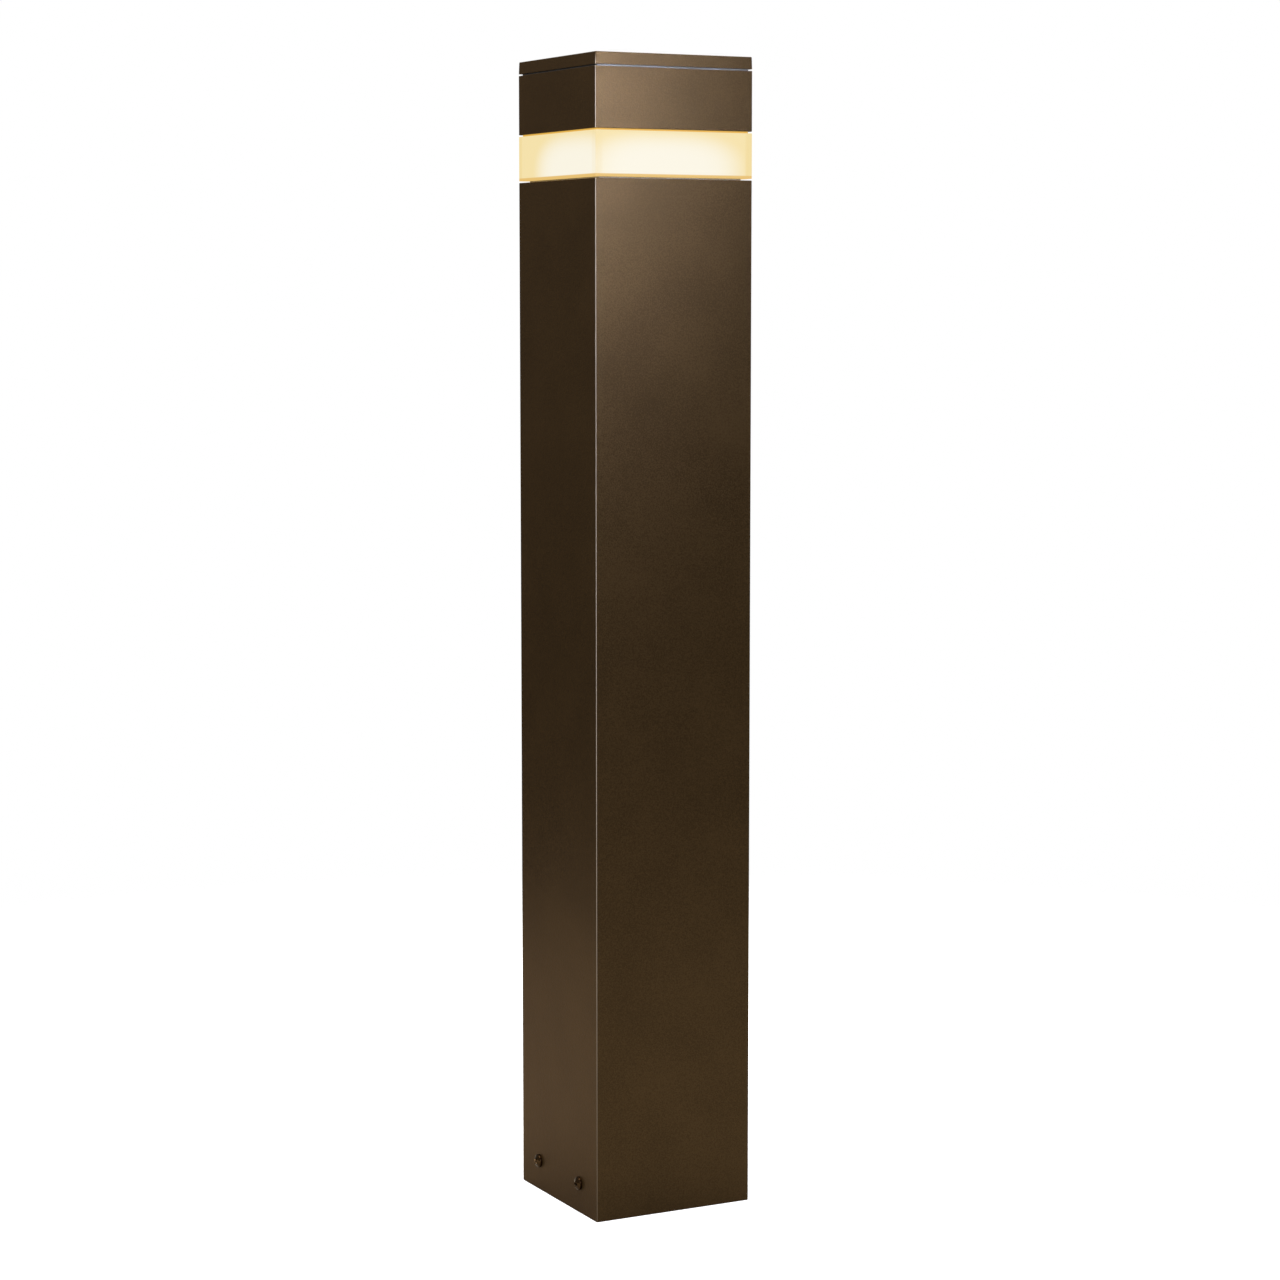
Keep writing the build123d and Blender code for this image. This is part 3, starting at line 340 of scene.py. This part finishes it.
def zinc_plate(name):
    """Bright zinc with a passivation tint that changes from crystal to crystal."""
    finish = Finish(name)
    crystal = finish.cells(3 * MM, "Color")
    split = finish.add("ShaderNodeSeparateColor")
    finish.plug(split.inputs[0], crystal)
    pick = split.outputs[0]
    fine = finish.noise(0.4 * MM, detail=3)
    finish.set(
        Base_Color=finish.blend(pick, (0.56, 0.57, 0.58), (0.68, 0.67, 0.61)),
        Metallic=1.0,
        Roughness=finish.remap(pick, 0, 1, 0.28, 0.42),
        Normal=finish.bump(fine, 0.02 * MM),
    )
    return finish


def silicone_sponge(name):
    """Grey closed-cell sponge with open pores where it was cut."""
    finish = Finish(name)
    pores = finish.cells(0.8 * MM)
    finish.set(
        Base_Color=finish.blend(finish.remap(pores, 0.15, 0.5), shade(WHITE, 0.20), shade(WHITE, 0.40)),
        Roughness=finish.remap(pores, 0, 0.6, 0.95, 0.8),
        Specular_IOR_Level=0.3,
        Normal=finish.bump(finish.remap(pores, 0.1, 0.4), 0.15 * MM),
    )
    return finish


TRACE_PITCH = 6 * MM       # from one copper ring to the next


def solder_mask(name):
    """White mask over copper: the traces stand up a little as rings about the stem."""
    finish = Finish(name)
    turn = finish.math("FRACT", finish.math("DIVIDE", finish.radius(), TRACE_PITCH))
    trace = finish.remap(finish.math("ABSOLUTE", finish.math("SUBTRACT", turn, 0.5)), 0.28, 0.33)
    speck = finish.noise(0.6 * MM, detail=3)
    finish.set(
        Base_Color=finish.blend(trace, (0.80, 0.82, 0.79), (0.86, 0.87, 0.85)),
        Roughness=finish.spread(speck, 0.3, 0.42),
        Normal=finish.bump(trace, 0.04 * MM),
    )
    return finish


WHITE_PAINT = (0.84, 0.84, 0.82)
STEEL = (0.56, 0.55, 0.53)
BLACK = (0.030, 0.030, 0.033)
PVC = ((0.34, 0.46), 2, 0.02, {"contrast": 0.06, "stretch": (1, 1, 0.1)})
MOULDED = ((0.42, 0.55), 0.7, 0.03, {"contrast": 0.06})

# Slot: colour, least and most roughness, grain and relief in mm, and what else grained() takes.
GRAINED = {
    "painted_screw": ((0.070, 0.040, 0.018), (0.14, 0.24), 0.5, 0.01, {"metallic": 1.0}),
    "cast_aluminium": ((0.50, 0.50, 0.49), (0.50, 0.70), 0.9, 0.15, {"metallic": 0.9}),
    "mill_aluminium": ((0.66, 0.66, 0.67), (0.26, 0.42), 0.5, 0.01,
                       {"metallic": 1.0, "stretch": (0.02, 1, 1)}),
    "white_reflector": (WHITE_PAINT, (0.45, 0.60), 0.6, 0.03, {"contrast": 0.03}),
    "led_phosphor": ((0.90, 0.66, 0.14), (0.40, 0.60), 0.3, 0.02, {}),
    "stainless_steel": (STEEL, (0.20, 0.36), 0.4, 0.01, {"metallic": 1.0}),
    "driver_case": ((0.78, 0.78, 0.75), (0.34, 0.46), 1.5, 0.04, {"contrast": 0.03}),
    "black_nylon": (BLACK, *MOULDED),
    "natural_nylon": ((0.76, 0.74, 0.66), *MOULDED),
    "green_paint": ((0.03, 0.26, 0.07), (0.25, 0.40), 0.6, 0.02, {"metallic": 0.6}),
    "wire_black": (BLACK, *PVC),
    "wire_white": ((0.80, 0.80, 0.77), *PVC),
    "wire_green": ((0.02, 0.24, 0.06), *PVC),
    "wire_red": ((0.50, 0.02, 0.02), *PVC),
}
finishes = {
    "bronze_powder_coat": bronze_coat("bronze_powder_coat"),
    "frosted_lens": frosted_lens("frosted_lens"),
    "white_solder_mask": solder_mask("white_solder_mask"),
    "gasket_rubber": silicone_sponge("gasket_rubber"),
    "zinc_steel": zinc_plate("zinc_steel"),
}
for slot, (colour, roughness, size, depth, others) in GRAINED.items():
    finishes[slot] = grained(slot, colour, roughness, size * MM, depth * MM, **others)
for part in frame["record"]["subparts"]:
    mesh = nodes[part["node"]].data
    mesh.materials.clear()
    mesh.materials.append(finishes[part["material_slot"]].material)
nodes["top_cap"].data.materials[0] = coated_cap("coated_cap").material

# ---------------------------------------------------------------- turned and lofted pieces
SHARP = radians(32)
THREAD_RINGS = 6           # rings in one turn of a thread

# A pan head and its cross recess, as shares of the head's radius and height.
PAN_SIDE = 0.45            # height of its upright side
PAN_UNDER = 0.96           # radius of its flat underside
PAN_EASE = (0.05, 0.07)    # heights eased off the side at its bottom and top
PAN_DOME = (0.985, 0.95, 0.90, 0.82, 0.74)
CROSS_ARMS = ((0.55, 0.140), (0.53, 0.125), (0.30, 0.090))     # reach and half width: mouth, lip, foot
CROSS_LIP = 0.04           # depth of the lip
CROSS_FOOT = 0.48          # heights of the recess's foot and of its point
CROSS_POINT = 0.43


class Loft:
    """A mesh of closed rings about a local Z axis, each joined to the one before it."""

    def __init__(self, segments):
        self.mesh = bmesh.new()
        self.segments = segments

    def start(self, place, axis, turn=0.0):
        """Begins a separate body at place, with its Z along axis."""
        tilt = Vector(axis).to_track_quat("Z", "Y").to_matrix().to_4x4()
        self.frame = Matrix.Translation(place) @ tilt @ Matrix.Rotation(turn, 4, "Z")
        self.first = self.last = None

    def vert(self, x, y, z):
        return self.mesh.verts.new(self.frame @ Vector((x, y, z)))

    def tip(self, height):
        """A single point on the axis, which closes the body or begins it."""
        self.join([self.vert(0, 0, height)] * self.segments)

    def ring(self, radius, height):
        """A ring. The radius may be a function of the angle, and the height one of the radius."""
        verts = []
        for step in range(self.segments):
            angle = 2 * pi * step / self.segments
            reach = radius(angle) if callable(radius) else radius
            rise = height(reach) if callable(height) else height
            verts.append(self.vert(reach * cos(angle), reach * sin(angle), rise))
        self.join(verts)

    def outline(self, points, height):
        """A ring through (x, y) points, of which there are as many as segments."""
        self.join([self.vert(x, y, height) for x, y in points])

    def join(self, verts):
        """Faces from the last ring, or point, to this one."""
        if self.last:
            for step in range(self.segments):
                after = (step + 1) % self.segments
                corners = (self.last[step], self.last[after], verts[after], verts[step])
                self.mesh.faces.new(dict.fromkeys(corners))
        self.first = self.first or verts
        self.last = verts

    def close(self):
        """Joins the last ring to the first, for a body with a hole through it."""
        self.join(self.first)

    def pan_head(self, radius, height):
        """Domed head with a tapered cross recess; its underside is at 0."""
        side = PAN_SIDE * height
        dome = (radius ** 2 + (height - side) ** 2) / (2 * (height - side))

        def rise(reach):
            return height - dome + sqrt(dome ** 2 - reach ** 2)

        bottom_ease, top_ease = PAN_EASE
        mouth, lip, foot = (cross(arm * radius, half * radius) for arm, half in CROSS_ARMS)
        self.ring(PAN_UNDER * radius, 0)
        self.ring(radius, bottom_ease * height)
        self.ring(radius, side - top_ease * height)
        for share in PAN_DOME:
            self.ring(share * radius, rise(share * radius))
        self.ring(mouth, rise)
        self.ring(lip, lambda reach: rise(reach) - CROSS_LIP * height)
        self.ring(foot, CROSS_FOOT * height)
        self.tip(CROSS_POINT * height)

    def thread(self, crest, depth, pitch, bottom, top):
        """Rings of a right-hand thread that runs out at both ends."""
        steps = round((top - bottom) / pitch * THREAD_RINGS)
        for step in range(steps + 1):
            height = bottom + (top - bottom) * step / steps
            fade = min(1, (height - bottom) / pitch, (top - height) / pitch)

            def radius(angle):
                phase = (height / pitch - angle / (2 * pi)) % 1
                return crest - depth * (1 - fade * (1 - abs(2 * phase - 1)))

            self.ring(radius, height)

    def finish(self, name, finish, body, slot, *replaced):
        """Makes the object, smooth but for its sharp edges, riding on a body."""
        bmesh.ops.recalc_face_normals(self.mesh, faces=self.mesh.faces)
        for face in self.mesh.faces:
            face.smooth = True
        for edge in self.mesh.edges:
            edge.smooth = len(edge.link_faces) == 2 and edge.calc_face_angle() < SHARP
        mesh = bpy.data.meshes.new(name)
        self.mesh.to_mesh(mesh)
        self.mesh.free()
        mesh.materials.append(finish.material)
        piece = bpy.data.objects.new(name, mesh)
        bpy.context.scene.collection.objects.link(piece)
        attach(piece, body)
        if replaced:
            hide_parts(*replaced)


def cross(arm, half_width):
    """Outline of a cross recess as a radius for each angle."""
    def radius(angle):
        fold = (angle + pi / 4) % (pi / 2) - pi / 4
        return min(arm / cos(fold), half_width / max(abs(sin(fold)), 1e-6))
    return radius


def hexagon(inner):
    """Outline of a hexagon with that inner radius as a radius for each angle."""
    def radius(angle):
        return inner / cos((angle + pi / 6) % (pi / 3) - pi / 6)
    return radius


# ---------------------------------------------------------------- base screws
HEAD_RADIUS = 6.0 * MM
HEAD_HEIGHT = 4.2 * MM
SHANK_LENGTH = 16 * MM
SHANK_POINT = 1.9 * MM     # radii of the shank's end and of its neck under the head
SHANK_NECK = 2.2 * MM
BASE_THREAD = (2.7 * MM, 0.5 * MM, 1.4 * MM)     # crest radius, depth, pitch
BASE_THREAD_SPAN = (-SHANK_LENGTH + 0.4 * MM, -3.6 * MM)
HEAD_TURN = 0.35           # radians that each recess is turned past the one before


def base_screws():
    """Four painted pan heads with a tapered cross recess, two in each X face."""
    low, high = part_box("base_screws")
    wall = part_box("column")[1].x
    centre_z = (low.z + high.z) / 2
    reach_y = high.y - HEAD_RADIUS
    places = [(side, y) for side in (1, -1) for y in (reach_y, -reach_y)]
    loft = Loft(segments=64)
    for number, (side, y) in enumerate(places, 1):
        loft.start((side * wall, y, centre_z), (side, 0, 0), turn=HEAD_TURN * number)
        loft.tip(-SHANK_LENGTH)
        loft.ring(SHANK_POINT, -SHANK_LENGTH)
        loft.thread(*BASE_THREAD, *BASE_THREAD_SPAN)
        loft.ring(SHANK_NECK, 0)
        loft.pan_head(HEAD_RADIUS, HEAD_HEIGHT)
    loft.finish("base_screw_set", finishes["painted_screw"], "post", "painted_screw", "base_screws")


# ---------------------------------------------------------------- cap screws
CAP_HEAD = 5.2 * MM        # radius
CAP_LAND = 0.3 * MM        # upright rim of the countersunk head
CAP_POINT = 1.6 * MM       # radii of the shank's end and of its neck
CAP_NECK = 2.2 * MM
CAP_THREAD = (2.5 * MM, 0.42 * MM, 0.8 * MM)     # crest radius, depth, pitch
CAP_THREAD_START = 0.6 * MM            # above the shank's end
CAP_THREAD_END = -12 * MM
CAP_NECK_END = -11.6 * MM
SOCKET_MOUTH = 1.95 * MM
SOCKET_HALF = 1.6 * MM
SOCKET_EASE = -0.25 * MM
SOCKET_FLOOR = -2.0 * MM
PIN_RADIUS = 0.5 * MM
PIN_SHOULDER = -0.6 * MM
PIN_TIP = (0.35 * MM, -0.4 * MM)       # radius and height


def cap_screws():
    """Four captive M5 countersunk screws with a pin in the hex socket."""
    low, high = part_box("cap_screws")
    length = high.z - low.z
    reach = high.x - CAP_HEAD
    loft = Loft(segments=48)
    for x in (-reach, reach):
        for y in (-reach, reach):
            loft.start((x, y, high.z), (0, 0, 1))
            loft.tip(-length)
            loft.ring(CAP_POINT, -length)
            loft.thread(*CAP_THREAD, -length + CAP_THREAD_START, CAP_THREAD_END)
            loft.ring(CAP_NECK, CAP_NECK_END)
            loft.ring(CAP_NECK, -(CAP_HEAD - CAP_NECK) - CAP_LAND)
            loft.ring(CAP_HEAD - 0.05 * MM, -CAP_LAND)
            loft.ring(CAP_HEAD, -CAP_LAND + 0.05 * MM)
            loft.ring(CAP_HEAD, -0.08 * MM)
            loft.ring(CAP_HEAD - 0.15 * MM, 0)
            loft.ring(SOCKET_MOUTH, 0)
            loft.ring(hexagon(SOCKET_HALF), SOCKET_EASE)
            loft.ring(hexagon(SOCKET_HALF), SOCKET_FLOOR)
            loft.ring(PIN_RADIUS, SOCKET_FLOOR)
            loft.ring(PIN_RADIUS, PIN_SHOULDER)
            loft.ring(*PIN_TIP)
            loft.tip(PIN_TIP[1])
    loft.finish("cap_screw_set", finishes["stainless_steel"], "cap", "stainless_steel", "cap_screws")


# ---------------------------------------------------------------- LED packages
PACKAGE_RINGS = ((26 * MM, 12), (38 * MM, 18))   # radius and count
PACKAGE_HALF = 1.5 * MM
PACKAGE_CORNER = 0.1 * MM
PACKAGE_EASE = 0.05 * MM
BOWL_MOUTH = 1.22 * MM
BOWL_FOOT = 1.10 * MM
BOWL_DEPTH = 0.30 * MM
PHOSPHOR_RINGS = (         # radius and depth below the package's face
    (1.08 * MM, 0.28 * MM),
    (1.16 * MM, 0.12 * MM),
    (0.80 * MM, 0.07 * MM),
    (0.40 * MM, 0.04 * MM),
)
PHOSPHOR_TOP = 0.03 * MM


def square(half, corner):
    """Outline of a square with slightly rounded corners as a radius for each angle."""
    def radius(angle):
        fold = (angle + pi / 4) % (pi / 2) - pi / 4
        return min(half / cos(fold), (half - corner) * sqrt(2) + corner)
    return radius


def led_packages():
    """White square bodies, each with a round bowl of yellow phosphor that bulges a little."""
    low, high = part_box("led_packages")
    face = high.z - low.z
    outline = square(PACKAGE_HALF, PACKAGE_CORNER)
    eased = square(PACKAGE_HALF - PACKAGE_EASE, PACKAGE_CORNER)
    bodies = Loft(segments=32)
    phosphor = Loft(segments=32)
    for ring_radius, count in PACKAGE_RINGS:
        for number in range(count):
            angle = 2 * pi * number / count
            place = (ring_radius * cos(angle), ring_radius * sin(angle), high.z)
            bodies.start(place, (0, 0, -1), turn=-angle)
            bodies.tip(0)
            bodies.ring(outline, 0)
            bodies.ring(outline, face - PACKAGE_EASE)
            bodies.ring(eased, face)
            bodies.ring(BOWL_MOUTH, face)
            bodies.ring(BOWL_FOOT, face - BOWL_DEPTH)
            bodies.tip(face - BOWL_DEPTH)
            phosphor.start(place, (0, 0, -1))
            phosphor.tip(face - PHOSPHOR_RINGS[0][1])
            for radius, depth in PHOSPHOR_RINGS:
                phosphor.ring(radius, face - depth)
            phosphor.tip(face - PHOSPHOR_TOP)
    white, yellow = "white_reflector", "led_phosphor"
    bodies.finish("led_package_bodies", finishes[white], "post", white, "led_packages")
    phosphor.finish("led_package_phosphor", finishes[yellow], "post", yellow)


# ---------------------------------------------------------------- driver lid and grommets
DRIVER_HALF = (47 * MM, 18 * MM)
LID_SKIRT = 7.5 * MM
LID_SHEET = 0.6 * MM
LID_GAP = 0.05 * MM
LID_CORNERS = (2.5 * MM, 3.0 * MM, 2.7 * MM)     # radii: inside, outside, eased top
LID_CORNER_STEPS = 6
LID_SCREW_REACH = 40 * MM
LID_SCREW_HEAD = (2.3 * MM, 1.6 * MM)            # radius and height
LID_SCREW_TURN = 0.6
SUPPLY_ENDS = ((27 * MM, 34 * MM, 41 * MM), 13.5 * MM)     # Y of each lead's end, and its height
LED_ENDS = ((31 * MM, 37 * MM), 10 * MM)
SUPPLY_BORE = 1.32 * MM    # radii that the leads pass through
LED_BORE = 0.92 * MM
GROMMET_RINGS = ((1.3 * MM, 0), (1.3 * MM, 1.0 * MM), (0.8 * MM, 1.5 * MM), (0, 1.6 * MM))


def rounded(half_x, half_y, corner):
    """(x, y) points of a rounded rectangle, anticlockwise from its right side."""
    points = []
    for quarter, (side_x, side_y) in enumerate(((1, 1), (-1, 1), (-1, -1), (1, -1))):
        for step in range(LID_CORNER_STEPS):
            angle = (quarter + step / (LID_CORNER_STEPS - 1)) * pi / 2
            points.append((side_x * (half_x - corner) + corner * cos(angle),
                           side_y * (half_y - corner) + corner * sin(angle)))
    return points


def driver_lid():
    """Sheet lid that laps over the driver's case, held by two small screws."""
    low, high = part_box("led_driver")
    centre_y = (low.y + high.y) / 2
    inner, outer, eased = (
        rounded(DRIVER_HALF[0] + proud, DRIVER_HALF[1] + proud, corner)
        for proud, corner in zip((LID_GAP, LID_SHEET, LID_SHEET / 2), LID_CORNERS)
    )
    loft = Loft(segments=4 * LID_CORNER_STEPS)
    loft.start((0, centre_y, high.z), (0, 0, 1))
    loft.tip(LID_GAP)
    loft.outline(inner, LID_GAP)
    loft.outline(inner, -LID_SKIRT)
    loft.outline(outer, -LID_SKIRT)
    loft.outline(outer, LID_SHEET / 2)
    loft.outline(eased, LID_SHEET)
    loft.tip(LID_SHEET)
    loft.finish("driver_lid", finishes["mill_aluminium"], "post", "mill_aluminium")

    screws = Loft(segments=64)
    for side in (1, -1):
        place = (side * LID_SCREW_REACH, centre_y, high.z + LID_SHEET)
        screws.start(place, (0, 0, 1), turn=side * LID_SCREW_TURN)
        screws.tip(0)
        screws.pan_head(*LID_SCREW_HEAD)
    screws.finish("driver_lid_screws", finishes["stainless_steel"], "post", "stainless_steel")


def lead_grommets():
    """A soft collar round each lead where it enters the driver."""
    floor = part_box("led_driver")[0].z
    reach = DRIVER_HALF[0] + LID_GAP
    loft = Loft(segments=32)
    for side, (ends, height), bore in ((1, SUPPLY_ENDS, SUPPLY_BORE), (-1, LED_ENDS, LED_BORE)):
        for y in ends:
            loft.start((side * reach, y, floor + height), (side, 0, 0))
            loft.ring(bore, 0)
            for flange, rise in GROMMET_RINGS:
                loft.ring(bore + flange, rise)
            loft.close()
    loft.finish("lead_grommets", finishes["black_nylon"], "post", "black_nylon")


base_screws()
cap_screws()
led_packages()
driver_lid()
lead_grommets()

# ---------------------------------------------------------------- studio
FLOOR_RADIUS = 1.1
FLOOR_FADE = 0.5
FLOOR_SHADE = (0.95, 0.95, 0.95)
BOUNCE_SHADE = (0.56, 0.53, 0.44)  # darker, warmer floor that lights and is mirrored by the post
FLOOR_DROP = 0.2 * MM      # keeps the floors clear of the base's underside
BOUNCE_DROP = 0.5 * MM
SHADOW_START_RADIUS = 0.12           # radii between which the painted shadow round the post fades and the bounce floor brightens away from the post
SHADOW_END_RADIUS = 0.30
FOOT_SHADOW_SHARE = 0.80          # of the bounce floor's brightness at the post, under its painted shadow
FLOOR_GLOW = 0.5
FLOOR_GRAIN = 0.02
FLOOR_MESH = (24, 96)      # rings, and segments in each


def floor_disc(name, colour, height, glow=0.0, foot=1.0):
    """Pale disc that fades into the backdrop at its rim, with its colour times foot at the post as a
    painted shadow.
    """
    rings, segments = FLOOR_MESH
    points = [(0, 0, height)]
    faces = []
    for ring in range(1, rings + 1):
        radius = (FLOOR_RADIUS + FLOOR_FADE) * ring / rings
        for step in range(segments):
            angle = 2 * pi * step / segments
            points.append((radius * cos(angle), radius * sin(angle), height))
    for step in range(segments):
        after = (step + 1) % segments
        faces.append((0, 1 + step, 1 + after))
        for ring in range(rings - 1):
            inner, outer = 1 + ring * segments, 1 + (ring + 1) * segments
            faces.append((inner + step, outer + step, outer + after, inner + after))
    mesh = bpy.data.meshes.new(name)
    mesh.from_pydata(points, [], faces)
    floor = bpy.data.objects.new(name, mesh)
    bpy.context.scene.collection.objects.link(floor)
    finish = Finish(name)
    radius = finish.radius()
    # Painted shadow: the disc darkens towards the post's foot.
    clear = finish.remap(radius, SHADOW_START_RADIUS, SHADOW_END_RADIUS)
    finish.set(
        Base_Color=finish.blend(clear, shade(colour, foot), colour),
        Roughness=finish.spread(finish.noise(FLOOR_GRAIN), 0.85, 0.95),
        Specular_IOR_Level=0.1,
        Emission_Color=colour,
        Emission_Strength=glow,
        Alpha=finish.remap(radius, FLOOR_RADIUS, FLOOR_RADIUS + FLOOR_FADE, 1.0, 0.0),
    )
    mesh.materials.append(finish.material)
    return floor


def make_floor():
    """The camera sees a white floor that takes no shadow; a lower, duller one lights the post."""
    seen = floor_disc("floor", FLOOR_SHADE, -FLOOR_DROP, glow=FLOOR_GLOW)
    seen.visible_diffuse = seen.visible_glossy = seen.visible_transmission = seen.visible_shadow = False
    bounce = floor_disc("bounce_floor", BOUNCE_SHADE, -BOUNCE_DROP, foot=FOOT_SHADOW_SHARE)
    bounce.visible_camera = False


def softbox(name, place, aim, size, power, spread, colour):
    """Rectangular area light of size (width, height) that faces aim."""
    data = bpy.data.lights.new(name, "AREA")
    data.shape = "RECTANGLE"
    data.size, data.size_y = size
    data.energy = power
    data.spread = radians(spread)
    data.color = colour
    light = bpy.data.objects.new(name, data)
    light.location = place
    light.rotation_mode = "QUATERNION"
    light.rotation_quaternion = (Vector(aim) - Vector(place)).to_track_quat("-Z", "Y")
    light.visible_camera = False
    bpy.context.scene.collection.objects.link(light)


SKY_STRENGTH = 0.24
GROUND_STRENGTH = 0.07
AMBIENT = (1.0, 0.95, 0.86)
HORIZON = 0.15             # half the height of the band where sky turns to ground


def make_backdrop():
    """White to the camera; to what it lights, dim above the horizon and darker below."""
    world = bpy.data.worlds.new("studio")
    bpy.context.scene.world = world
    world.use_nodes = True
    tree = world.node_tree
    tree.nodes.clear()
    path = tree.nodes.new("ShaderNodeLightPath")
    place = tree.nodes.new("ShaderNodeTexCoord")
    split = tree.nodes.new("ShaderNodeSeparateXYZ")
    climb = tree.nodes.new("ShaderNodeMapRange")
    seen = tree.nodes.new("ShaderNodeBackground")
    dim = tree.nodes.new("ShaderNodeBackground")
    mix = tree.nodes.new("ShaderNodeMixShader")
    output = tree.nodes.new("ShaderNodeOutputWorld")
    climb.interpolation_type = "SMOOTHSTEP"
    limits = (("From Min", -HORIZON), ("From Max", HORIZON),
              ("To Min", GROUND_STRENGTH), ("To Max", SKY_STRENGTH))
    for socket, value in limits:
        climb.inputs[socket].default_value = value
    seen.inputs["Color"].default_value = (1, 1, 1, 1)
    dim.inputs["Color"].default_value = (*AMBIENT, 1)
    tree.links.new(place.outputs["Generated"], split.inputs[0])
    tree.links.new(split.outputs["Z"], climb.inputs["Value"])
    tree.links.new(climb.outputs[0], dim.inputs["Strength"])
    tree.links.new(path.outputs["Is Camera Ray"], mix.inputs[0])
    tree.links.new(dim.outputs[0], mix.inputs[1])
    tree.links.new(seen.outputs[0], mix.inputs[2])
    tree.links.new(mix.outputs[0], output.inputs["Surface"])


# Name, place, aim, (width, height) in metres, watts, spread in degrees, colour.
LIGHTS = (
    ("overhead", (0, 0, 2.6), (0, 0, 0), (1.8, 1.8), 100, 180, WHITE),
    ("key", (0.35, -1.25, 1.15), (-0.22, -0.076, 0.98), (0.15, 0.44), 1.0, 38, (0.74, 0.83, 1.08)),
    ("front", (-0.6, -2.6, 1.2), (0, 0, 0.5), (1.5, 1.5), 23, 180, (0.88, 0.95, 1.30)),
    ("corner", (-2.0, -1.03, 1.5), (0, 0, 0.8), (0.9, 1.2), 14, 180, WHITE),
)

make_floor()
make_backdrop()
for light in LIGHTS:
    softbox(*light)
